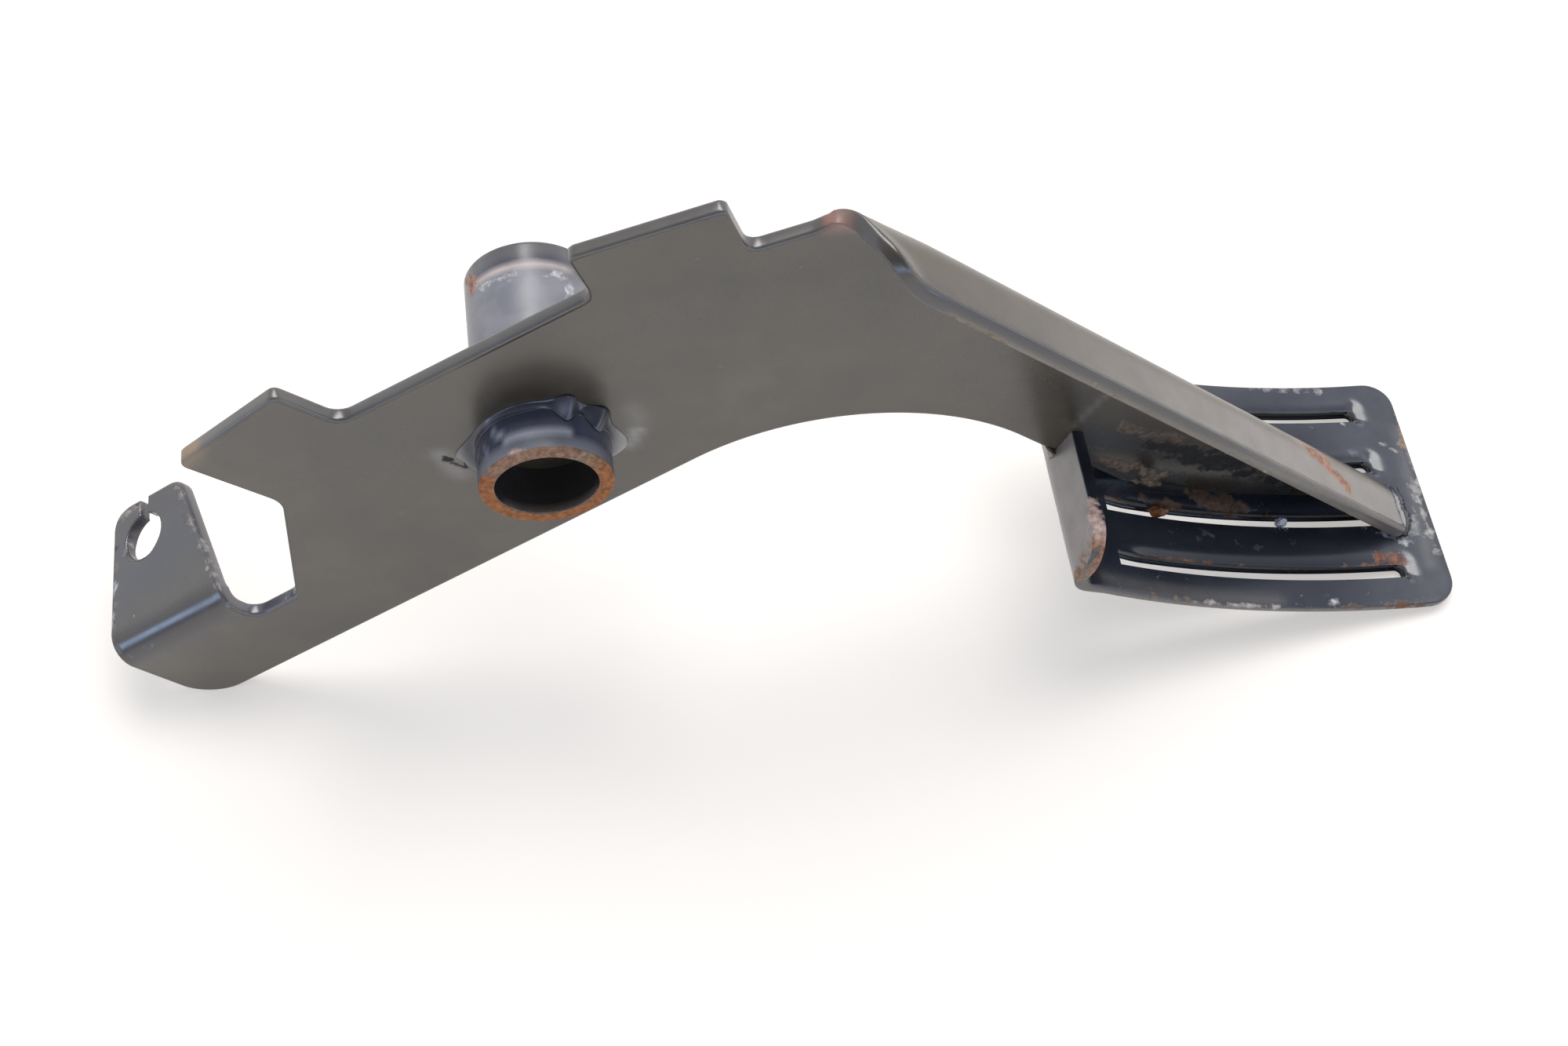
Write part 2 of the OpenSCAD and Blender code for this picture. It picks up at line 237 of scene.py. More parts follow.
def sheet_surface(loops, points, half, low, high, place):
    """A sheet cut from a flat blank and formed by place(uv, d) -> xyz, with d the distance from the middle of
    the sheet. loops are the outline (anticlockwise) and the holes (clockwise); low and high hold the rounding
    of the edge on the skins at -half and +half, for each point of a loop. Both skins share one triangulation
    of the loops, set in by the rounding, and of the points between them. Each edge is a grid of the loop
    times a profile: a quarter of a circle from one skin, a straight run and a quarter onto the other. Returns
    vertices, triangles, quads and each vertex's share of edge (0 or 1)."""
    outs = [outward(l) for l in loops]
    rims = [np.maximum(a, b) for a, b in zip(low, high)]
    flat = np.concatenate([l - o * (r + RIM_IN)[:, None] for l, o, r in zip(loops, outs, rims)] + [points])
    count = [len(l) for l in loops]
    start = np.cumsum([0] + count)
    edges = [cols(np.arange(c), (np.arange(c) + 1) % c) + s for c, s in zip(count, start)]
    got = delaunay_2d_cdt([Vector(p) for p in flat.tolist()], np.concatenate(edges).tolist(), [], 0, 1e-5)
    xy = np.array([v[:] for v in got[0]])
    home = np.array([o[0] if o else -1 for o in got[3]])
    tri = np.array(got[2], int)
    middle = xy[tri].mean(1)
    keep = inside(middle, flat[:count[0]])
    for c, s in zip(count[1:], start[1:]):
        keep &= ~inside(middle, flat[s:s + c])
    tri = home[tri[keep]]
    tri = tri[(tri >= 0).all(1)]
    e1, e2 = flat[tri[:, 1]] - flat[tri[:, 0]], flat[tri[:, 2]] - flat[tri[:, 0]]
    flip = e1[:, 0] * e2[:, 1] - e1[:, 1] * e2[:, 0] < 0
    tri[flip] = tri[flip][:, ::-1]
    n = len(flat)
    verts = [place(flat, np.full(n, -half)), place(flat, np.full(n, half))]
    tris, quads, shares = [tri[:, ::-1], tri + n], [], [np.zeros(2 * n)]
    turn = np.linspace(0, pi / 2, EDGE_POINTS)[:, None]
    size = 2 * n
    for l, out, c, s, lo, hi, rim in zip(loops, outs, count, start, low, high, rims):
        sin, cos, none = np.sin(turn), np.cos(turn), 0 * rim[None]
        reach = join(-rim[None], lo * (sin - 1), hi * (cos - 1), -rim[None])
        depth = join(none - half, -half + lo * (1 - cos), half - hi * (1 - sin), none + half)
        verts += [place(l + out * q[:, None], d) for q, d in zip(reach, depth)]
        k = np.arange(c)
        ids = [k + s] + [size + k + i * c for i in range(len(reach))] + [k + s + n]
        quads += [cols(a, np.roll(a, -1), np.roll(b, -1), b) for a, b in zip(ids[:-1], ids[1:])]
        shares.append((np.abs(depth) < half - 1e-6).astype(float).ravel())
        size += c * len(reach)
    return np.concatenate(verts), np.concatenate(tris), np.concatenate(quads), np.concatenate(shares)


def grid_surface(p, ring=True):
    """Quads over a grid of points (u, v, 3), closed round v. Along u it is a ring, or open with its ends
    capped by fans."""
    nu, nv = p.shape[:2]
    i, j = (g.ravel() for g in np.meshgrid(np.arange(nu if ring else nu - 1), np.arange(nv), indexing="ij"))
    a, b = i * nv + j, (i + 1) % nu * nv + j
    c, d = (i + 1) % nu * nv + (j + 1) % nv, i * nv + (j + 1) % nv
    verts, tris = p.reshape(-1, 3), np.zeros((0, 3), int)
    if not ring:
        k, n = np.arange(nv), len(verts)
        verts = join(verts, p[:1].mean(1), p[-1:].mean(1))
        end, tip = (nu - 1) * nv, np.full(nv, n)
        tris = join(cols(np.roll(k, -1), k, tip), cols(k, np.roll(k, -1), tip) + [[end, end, 1]])
    return verts, tris, cols(a, b, c, d)


def step_up(x, a, b):
    """Smooth step from 0 at a to 1 at b."""
    t = unit((x - a) / (b - a))
    return t * t * (3 - 2 * t)


def near(p, rows):
    """Mask of wear, of painted highlights and of painted shade: the strongest of several marks, each a
    segment (ax, ay, az, bx, by, bz, radius, strength) that fades as exp(-(distance / radius) squared)."""
    m = np.zeros(len(p))
    for ax, ay, az, bx, by, bz, r, s in rows:
        a, d = np.array([ax, ay, az]), np.array([bx - ax, by - ay, bz - az])
        t = unit(((p - a) @ d) / max(d @ d, 1e-9))
        m = np.maximum(m, s * np.exp(-((p - a - t[:, None] * d) ** 2).sum(1) / r ** 2))
    return m


def coat(verts, rows=(), extra=()):
    """Colour and cover of a coat at each vertex. rows are marks of wear, painted highlights and painted shade
    as in near, each with its colour after it; extra holds pairs of a mask and a colour. Overlapping colours
    are averaged by the sixth power of their masks, and the cover is the strongest mask."""
    masks = [near(verts, [row[:8]]) for row in rows] + [m for m, _ in extra]
    hues = [row[8] for row in rows] + [c for _, c in extra]
    if not masks:
        return np.zeros((len(verts), 4))
    m = np.clip(np.array(masks), 1e-9, 1)
    w = m ** 6
    return np.concatenate([(w.T @ np.array(hues)) / w.sum(0)[:, None], m.max(0)[:, None]], 1)


def waves(rng, n, x):
    """Seeded unevenness along x: a sum of n sines with falling strength."""
    k, ph = np.arange(1, n + 1), rng.uniform(0, 6.28, n)
    return (np.sin(np.asarray(x)[..., None] * k + ph) / np.sqrt(k)).sum(-1) / 2


# ---------------------------------------------------------------- pieces, in mm

# Lines of the side view, each by its angle in degrees and its distance from the pivot
ARM_FALL = 48.6
LOWER, UPPER, TAIL = (29.4, -26.5), (26.3, 29.9), (119.4, 118.5)
RELIEF_FLOOR, RELIEF_SIDE, THROAT = (29.4, -8.0), (119.4, 85.5), (77.6, 49.4)
HOOK_NEAR, HOOK_FAR, HOOK_END = (-52.5, -45.5), (-52.5, -17.5), (34.6, 47.4)
LOW_SHOULDER, HIGH_SHOULDER = (12.0, 36.7), (12.0, 48.9)
STEP_RISE, STEP_FALL = (102.0, -24.8), (102.0, -53.0)
WEB_EDGE, FLANGE_START = (-ARM_FALL, 51.7), (22.0, 24.9)
# Distances of both fold lines from the pivot, unfolded widths and the flange's length
FLANGE_N, TAB_V, TAB_W, FLANGE_W, FLANGE_S = 77.8, -3.8, 37.47, 16.07, 169.9
# The pad's centre of curvature, the turns of its ends from straight down, the lip's angle and height
PAD_MID, PAD_TURN, LIP = np.array([204.735, 90.822]), (38.15, 7.8), (77.8, 10.1)
# Along and square to the falling part of the arm, and the rising one
FALL, FALL_UP = direction(-ARM_FALL), normal(-ARM_FALL)
RISE, RISE_UP = direction(LOWER[0]), normal(LOWER[0])
# The flange's fold opens at START_TURN of its turn and gains START_MORE over START_SPAN, slanted by
# START_SLANT. Its radius is larger by START_SOFT at first and its own past SOFT_SPAN.
START_TURN, START_MORE, START_SLANT, START_SPAN = 0.55, 0.45, 0.25, (-4, 12)
START_SOFT, SOFT_SPAN = 3.0, (0, 22)
# How far the tab's fold reaches along the arm
TAB_END = -80
# The keyhole: place along the arm, height over the tab's fold line, radius and half width of its slot
KEY_AT, KEY_RISE, KEY_R, KEY_HALF = -109.0, 27.67, 5.5, 1.2
# The web's end follows the pad's hollow side at this radius, in so many points
SEAM_R, SEAM_POINTS = 168.6, 24


def arm_place(s):
    """Forms the arm's blank. uv is (x, z) of the side view. Past its fold line the flange turns forward and
    the tab back, each about a cylinder: angle = overrun / radius up to 90 degrees, then straight on. The
    flange's angle grows to 90 degrees over its first few mm, so that it starts in a soft slope."""
    r = s.fold / MM

    def place(uv, d):
        along, over = uv @ FALL, uv @ FALL_UP - FLANGE_N
        grown = START_TURN + START_MORE * step_up(along - START_SLANT * over, *START_SPAN)
        full = pi / 2 * grown
        rf = r + START_SOFT * (1 - step_up(along, *SOFT_SPAN))
        turn = np.clip(over / rf, 0, full)
        rest = np.maximum(over - rf * full, 0)
        sin, cos = np.sin(turn), np.cos(turn)
        up = FLANGE_N + (rf + d) * sin + rest * cos - (rf - r) * sin
        y = -rf + (rf + d) * cos - rest * sin
        flange = in_space(up[:, None] * FALL_UP + along[:, None] * FALL, y)
        xyz = np.where((over > 0)[:, None], flange, in_space(uv, d))
        u, w = uv @ RISE, uv @ RISE_UP - TAB_V
        turn = np.clip(w / r, 0, pi / 2)
        up = TAB_V + (r - d) * np.sin(turn)
        y = r - (r - d) * np.cos(turn) + np.maximum(w - r * pi / 2, 0)
        tab = in_space(up[:, None] * RISE_UP + u[:, None] * RISE, y)
        return np.where(((w > 0) & (u < TAB_END))[:, None], tab, xyz)

    return place


def arm_blank():
    """Outline of the arm's flat blank, with tab and flange unfolded and the keyhole as a notch."""
    flange_edge, toe_end = (-ARM_FALL, FLANGE_N + FLANGE_W), (90 - ARM_FALL, -FLANGE_S)
    rise = np.linspace(WEB_EDGE[1], FLANGE_N, SEAM_POINTS)
    run = PAD_MID @ FALL + np.sqrt(SEAM_R ** 2 - (rise - PAD_MID @ FALL_UP) ** 2)
    seam = run[:, None] * FALL + rise[:, None] * FALL_UP
    low, top = TAB_V + 5.5, TAB_V + TAB_W
    mouth = math.asin(KEY_HALF / KEY_R)
    a = np.linspace(pi / 2 - mouth, -1.5 * pi + mouth, 30)
    tab = lambda u, v, r=0: (*(u * RISE + v * RISE_UP), r)

    def chain(*path):
        """Corners where each line of the path meets the next, with the radius that stands between them."""
        return [(*meet(p, q), r) for p, r, q in zip(path[::2], path[1::2], path[2::2])]

    return rounded([
        *chain(TAIL, 9, LOWER, 52, WEB_EDGE), *[(*p, 0) for p in seam],
        *chain(toe_end, 1.2, flange_edge, 7, FLANGE_START, 6, LOW_SHOULDER, 2.5, STEP_FALL, 1.4,
               HIGH_SHOULDER, 1.4, STEP_RISE, 3, UPPER, 3.5, HOOK_FAR, 1.6, HOOK_END, 2.2, HOOK_NEAR, 6,
               THROAT, 4, RELIEF_FLOOR, 3, RELIEF_SIDE),
        tab(-85.5, low, 0.8), tab(-97.5, top, 5), tab(KEY_AT + KEY_HALF, top, 0.7),
        *[tab(KEY_AT + KEY_R * math.cos(t), TAB_V + KEY_RISE + KEY_R * math.sin(t)) for t in a],
        tab(KEY_AT - KEY_HALF, top, 0.7), tab(-118.5, top, 5),
    ])


def fill_grid(loops, step, inset, fine=()):
    """Points of a square grid, and of a finer one where a test of fine, pairs (test, step), holds, that lie
    at least inset within the outline and outside the holes."""
    lo, hi = loops[0].min(0), loops[0].max(0)

    def grid(size):
        u, v = np.meshgrid(np.arange(lo[0], hi[0], size), np.arange(lo[1], hi[1], size), indexing="ij")
        return cols(u.ravel(), v.ravel())

    pts = [grid(step)]
    for test, size in fine:
        pts[0] = pts[0][~test(pts[0])]
        more = grid(size)
        pts.append(more[test(more)])
    p = np.concatenate(pts)
    ok = inside(p, loops[0] - outward(loops[0]) * inset)
    for h in loops[1:]:
        ok &= ~inside(p, h - outward(h) * inset)
    return p[ok]


def node_maker(tree):
    """A function that adds a node to the tree, sets its properties, and sets or links its inputs."""

    def add(kind, inputs=(), **props):
        node = tree.nodes.new(kind)
        for k, v in props.items():
            setattr(node, k, v)
        for key, v in dict(inputs).items():
            if isinstance(v, bpy.types.NodeSocket):
                tree.links.new(v, node.inputs[key])
            else:
                node.inputs[key].default_value = v
        return node

    return add


def material_nodes(name):
    """A node material with a Principled shader on its output; returns it, its tree, the shader and a node
    maker."""
    mat = bpy.data.materials.new(name)
    mat.use_nodes = True
    tree = mat.node_tree
    tree.nodes.clear()
    add = node_maker(tree)
    shader, out = add("ShaderNodeBsdfPrincipled"), add("ShaderNodeOutputMaterial")
    tree.links.new(shader.outputs[0], out.inputs[0])
    return mat, tree, shader, add


# Scales of the noises, per metre
GRAIN, RAGGED, BLOTCH, MOTTLE, CLOUD, PEEL = 850.0, 300.0, 40.0, 115.0, 180.0, 330.0


def paint(name, colour, lift, finish, gloss=0.0, ior=1.65):
    """Semi-gloss paint whose colour drifts in blotches to one that is lift times as bright. The attribute
    "film" lays thin coats of dust or darker paint over it, and painted highlights, painted reflections and
    painted shade, all with soft ends; "spot" lays rust, bare metal and dirt, and some painted shade and a
    painted highlight, with ends broken up by noise. Pale coats are dull, and spots are rough and stand proud."""
    mat, tree, shader, add = material_nodes(name)
    place = add("ShaderNodeTexCoord").outputs["Object"]

    def noise(scale, detail=4.0, rough=0.55):
        inputs = {"Vector": place, "Scale": scale, "Detail": detail, "Roughness": rough}
        return add("ShaderNodeTexNoise", inputs).outputs["Fac"]

    def ramp(fac, low, high, a=0.0, b=1.0):
        return add("ShaderNodeMapRange", {0: fac, 1: low, 2: high, 3: a, 4: b}).outputs[0]

    def blend(fac, a, b, how="MIX"):
        return add("ShaderNodeMix", {0: fac, 6: a, 7: b}, data_type="RGBA", blend_type=how).outputs[2]

    def calc(op, a, b, clamp=False):
        return add("ShaderNodeMath", {0: a, 1: b}, operation=op, use_clamp=clamp).outputs[0]

    def times(a, b):
        return calc("MULTIPLY", a, b)

    fine, mid, broad = noise(GRAIN, 4.0, 0.6), noise(RAGGED, 5.0, 0.6), noise(BLOTCH, 5.0, 0.6)
    tone = times(ramp(broad, 0.3, 0.7), ramp(noise(MOTTLE), 0.28, 0.5, 0.45))
    col = blend(tone, (*colour, 1), (*(np.array(colour) * lift), 1))
    film = add("ShaderNodeAttribute", attribute_name="film")
    thin = times(film.outputs["Alpha"], ramp(noise(CLOUD, 5.0), 0.28, 0.62, 0.66))
    col = blend(thin, col, film.outputs["Color"])
    spot = add("ShaderNodeAttribute", attribute_name="spot")
    torn = add("ShaderNodeMapRange", {0: mid, 1: 0.3, 2: 0.7, 3: 0.02, 4: 1.02}, clamp=False).outputs[0]
    thick = calc("DIVIDE", calc("SUBTRACT", times(spot.outputs["Alpha"], 1.55), torn), 0.3, True)
    grain = ramp(fine, 0.3, 0.7, 0.45, 1.45)
    stain = blend(1.0, spot.outputs["Color"], grain, "MULTIPLY")
    col = blend(times(thick, 0.93), col, stain)
    tree.links.new(col, shader.inputs["Base Color"])
    pale = add("ShaderNodeRGBToBW", {0: film.outputs["Color"]}).outputs[0]
    rough = calc("ADD", times(mid, 0.12), finish.gloss + gloss - 0.06)
    dulled = calc("SUBTRACT", times(pale, 1.3), 0.14)
    rough = calc("ADD", rough, times(thin, dulled), True)
    rough = calc("ADD", rough, times(thick, 0.38), True)
    tree.links.new(rough, shader.inputs["Roughness"])
    shader.inputs["IOR"].default_value = ior
    tree.links.new(ramp(thick, 0.0, 1.0, 0.5, 0.15), shader.inputs["Specular IOR Level"])
    crust = times(times(thick, fine), 0.9)
    height = calc("ADD", times(noise(PEEL, 2.0), finish.orange_peel), crust)
    bump = add("ShaderNodeBump", {"Strength": 0.35, "Distance": 0.00035, "Height": height})
    tree.links.new(bump.outputs[0], shader.inputs["Normal"])
    return mat


def link(name, data):
    """Puts data into the scene as an object."""
    obj = bpy.data.objects.new(name, data)
    bpy.context.scene.collection.objects.link(obj)
    return obj


def make(name, surface, film, spot, node, mat):
    """Puts a surface in mm into a smooth-shaded mesh in metres, with its coats, painted light and shade among
    them, as point attributes. It rides on the one body and stands for the CAD node."""
    verts, tris, quads = surface
    mesh = bpy.data.meshes.new(name)
    mesh.from_pydata((verts * MM).tolist(), [], tris.tolist() + quads.tolist())
    mesh.shade_smooth()
    for key, values in (("film", film), ("spot", spot)):
        layer = mesh.attributes.new(key, "FLOAT_COLOR", "POINT")
        layer.data.foreach_set("color", unit(values).astype(np.float32).ravel())
    mesh.materials.append(mat)
    obj = link(name, mesh)
    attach(obj, "root")
    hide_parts(node)


class PEDAL_OT_arm(bpy.types.Operator):
    """Builds the arm: one folded sheet with its cable tab, hook, stepped edge and flange"""
    bl_idname = "pedal.arm"
    bl_label = "Arm"

    def execute(self, context):
        s, f = context.scene.pedal_sizes, context.scene.pedal_finish
        loop = arm_blank()
        if area(loop) <= 0:
            raise RuntimeError("the arm's blank turned inside out")

        def fold_band(p):
            flange, tab = np.abs(p @ FALL_UP - FLANGE_N - 4) < 6, np.abs(p @ RISE_UP - TAB_V - 4) < 6
            return flange | tab & (p[:, 0] < -62)

        pts = fill_grid([loop], s.grid / MM, 1.3, [(fold_band, 1.1)])
        upper = 0.45 * step_up(outward(loop)[:, 1], 0.2, 0.7) * (loop @ FALL_UP < FLANGE_N)
        low = [s.shear / MM + upper]
        high = [s.shear / MM + upper + 0.95 * step_up(loop @ FALL_UP, FLANGE_N + 6, FLANGE_N + 12)]
        verts, tris, quads, edge = sheet_surface([loop], pts, s.sheet / MM / 2, low, high, arm_place(s))
        x, y, z = verts.T
        flange = (y < -3) & (x > 40)
        lip = edge * flange
        height = x * FALL_UP[0] + z * FALL_UP[1]
        top = edge * step_up(z - 0.4 * x, -4, 8) * (x < 66)
        # The flange's top face is painted light grey for dust and for a painted sheen, more towards the pad.
        dust_and_sheen = step_up(-y, 3.2, 5.5) * (1 - edge) * (0.04 + 0.62 * step_up(x, 72, 150))
        film = coat(verts, ARM_FILM, [
            (np.where(flange, dust_and_sheen, 0), (0.26, 0.235, 0.22)),
            (top * 0.36, (0.1, 0.1, 0.11)),
            (edge * (x < -55) * (z < -25) * 0.6, (0.08, 0.082, 0.115)),
            # Painted shade on the upper half of the flange's free edge.
            (lip * step_up(x, 66, 76) * step_up(height, 81.9, 83.0) * 0.8, (0.02, 0.022, 0.03)),
            (lip * step_up(x, 68, 80) * step_up(-height, -82.2, -81.0) * 0.8, (0.17, 0.135, 0.1)),
            (lip * step_up(x, 112, 145) * 0.8, (0.15, 0.132, 0.118)),
        ])
        mat = paint("lever_paint", f.arm_colour, (2.7, 2.7, 2.9), f, 0.0, 1.82)
        make("lever", (verts, tris, quads), film, coat(verts, ARM_SPOT), "arm", mat)
        return {"FINISHED"}


# Colours of the coats, linear. The dark navy is painted shade and the lilac a painted highlight; black serves
# for dirt and for painted shade.
SHADE_NAVY, BLACK, STEEL = (0.012, 0.016, 0.034), (0.01, 0.01, 0.011), (0.105, 0.108, 0.13)
HIGHLIGHT_LILAC, CHALK, BONE = (0.26, 0.26, 0.34), (0.42, 0.42, 0.44), (0.27, 0.25, 0.225)
TAN, BROWN = (0.22, 0.16, 0.11), (0.135, 0.08, 0.054)
RUST, ORANGE = (0.19, 0.08, 0.045), (0.3, 0.115, 0.042)

# Marks on the arm, of wear and of painted light and shade: both ends of a segment, radius, strength and
# colour
ARM_FILM = [
    # Painted shade: the tab's face is darkened and tinted blue.
    (-100, 20, -53, -82, 20, -44, 13, 0.85, (0.016, 0.017, 0.028)),
    # Painted shade in the tab's fold, on both sides of its highlight line.
    (-103, 0.8, -57.5, -76, 0.6, -42.8, 2.4, 0.85, SHADE_NAVY),
    (-104, -1.5, -62, -76, -1.5, -46.5, 2.6, 0.55, SHADE_NAVY),
    # Painted highlight, then painted shade, where the flange's fold starts.
    (64.6, -4.4, 49, 66.8, -8, 47.9, 1.7, 0.75, HIGHLIGHT_LILAC),
    (67.6, -9.5, 46.5, 74.9, -13.4, 38, 2.4, 0.85, SHADE_NAVY),
    # Painted shade along the top of the flange near its free edge.
    (72.1, -13.4, 44.9, 95, -13.5, 19, 1.5, 0.8, SHADE_NAVY),
    (59, 0, 50, 61.7, -1, 49.9, 2.2, 0.92, (0.3, 0.13, 0.1)),
    # Painted shade on the web under the flange, near the pad.
    (107, -1.5, -34, 150, -1.5, -66, 6, 0.6, BLACK),
    (-62, 0, 15.5, -66, 0, 11.8, 2.6, 0.85, (0.3, 0.19, 0.105)),
    (-44, 0, 27.5, -62, 0, 15, 2.2, 0.4, BONE),
    (15.4, -1.5, -6, 17.9, -1.5, -1.5, 1.5, 0.75, (0.33, 0.31, 0.285)),
    (18.6, -1.5, 1, 18, -1.5, 6, 2, 0.3, BONE),
    (-19.5, -1.5, 1, -17.5, -1.5, -6.5, 2, 0.62, BONE),
    # Painted shade in the pit of the front bead.
    (-18.8, -1.5, -1, -17.2, -1.5, -3.4, 0.8, 0.9, BLACK),
    (151, -2.6, -45, 160, -9.5, -55, 3.6, 0.72, (0.3, 0.2, 0.15)),
    (101.9, -1.5, -26.4, 108.5, -1.5, -16.2, 0.8, 0.3, BONE),
    (-48, -1.5, 18, -34, -1.5, 8, 12, 0.45, BLACK),
    (62, -1.5, 34, 92, -1.5, -6, 12, 0.3, BLACK),
    (20, -1.5, 30, 52, -1.5, 40, 7, 0.3, BLACK),
]
ARM_SPOT = [
    (39.2, -1.5, 27.5, 39.3, -1.5, 27.5, 0.7, 0.75, CHALK),
    (43.7, -1.5, 12.6, 43.8, -1.5, 12.6, 0.6, 0.7, CHALK),
    (-86.9, 33, -46.4, -75.8, 2.3, -40.8, 1.1, 0.5, BONE),
    (-81.5, 18, -43.2, -78.5, 10, -42, 1.5, 0.46, (0.2, 0.2, 0.21)),
    (-85, 27, -45.5, -82, 18, -44, 1.6, 0.38, (0.16, 0.15, 0.14)),
    (-74.6, -0.9, -43, -70.6, 1.4, -47.7, 1, 0.44, (0.18, 0.18, 0.2)),
    (-66, -1.2, -46, -61, 0, -42.8, 1, 0.46, BONE),
    (-101.5, 20.5, -54, -101, 26, -54.5, 1.2, 0.5, CHALK),
    (-96, 33.5, -51, -102, 33, -55, 1.8, 0.46, BONE),
    (-104.2, 5, -56.3, -104.2, 20, -56.3, 0.9, 0.46, CHALK),
    (-103, 16, -55.6, -100, 17.5, -54.6, 1, 0.46, CHALK),
    (-98, 6, -53, -97.8, 6.1, -53, 0.7, 0.6, CHALK),
    # Painted highlight: a thin bluish line along the middle of the tab's fold.
    (-103, -0.5, -58.5, -92, -1, -53, 0.6, 0.34, (0.15, 0.16, 0.2)),
    (152, -3.6, -45.8, 157, -6, -51.4, 2.6, 0.56, (0.28, 0.155, 0.105)),
    (156.8, -6, -51.2, 161, -9.8, -55.9, 2, 0.56, (0.28, 0.145, 0.095)),
    # Painted shade in the pit of the front bead.
    (-18.8, -1.5, -0.6, -16.4, -1.5, -4.2, 1, 0.66, BLACK),
    # Painted shade on the web under the flange, near the pad.
    (120, -1.5, -38, 158, -1.5, -67, 5, 0.6, BLACK),
    (111.9, -1.5, -28, 125.2, -1.5, -38.1, 2.4, 0.56, (0.125, 0.085, 0.058)),
    (108.1, -1.5, -40, 111.5, -1.5, -43, 1.6, 0.58, (0.2, 0.135, 0.09)),
    (113.8, -1.5, -43.8, 122, -1.5, -51, 2.3, 0.58, (0.185, 0.13, 0.09)),
    (112, -1.5, -49.5, 122, -1.5, -54, 1, 0.5, TAN),
    (106, -1.5, -35, 124, -1.5, -41, 0.6, 0.42, STEEL),
    (116, -1.5, -38, 131, -1.5, -47, 0.6, 0.4, STEEL),
    (132, -1.5, -50, 143, -1.5, -55, 0.7, 0.42, STEEL),
    (69.9, -13.5, 42, 120, -13.5, -14.5, 0.9, 0.4, TAN),
    (76, -13.5, 35.8, 86, -13.5, 24.5, 1, 0.46, (0.2, 0.15, 0.09)),
    (105, -13.5, 2.6, 107, -13.5, 0.2, 1.3, 0.6, (0.24, 0.16, 0.08)),
    (112, -13.5, -5.5, 130, -13.5, -26, 1, 0.5, (0.22, 0.13, 0.07)),
    (128, -13.5, -24, 166, -13.5, -67, 1.4, 0.5, BONE),
    (136, -13.5, -33, 138, -13.5, -35, 1.6, 0.55, (0.26, 0.19, 0.09)),
    (96, -13.5, 14.5, 150, -13.5, -46.5, 0.8, 0.4, (0.3, 0.25, 0.2)),
]


# Radii of the tube's outer and inner edges, and the points along and round it
TUBE_EDGE, TUBE_ROWS, TUBE_SIDES = (0.5, 0.35), 30, 144


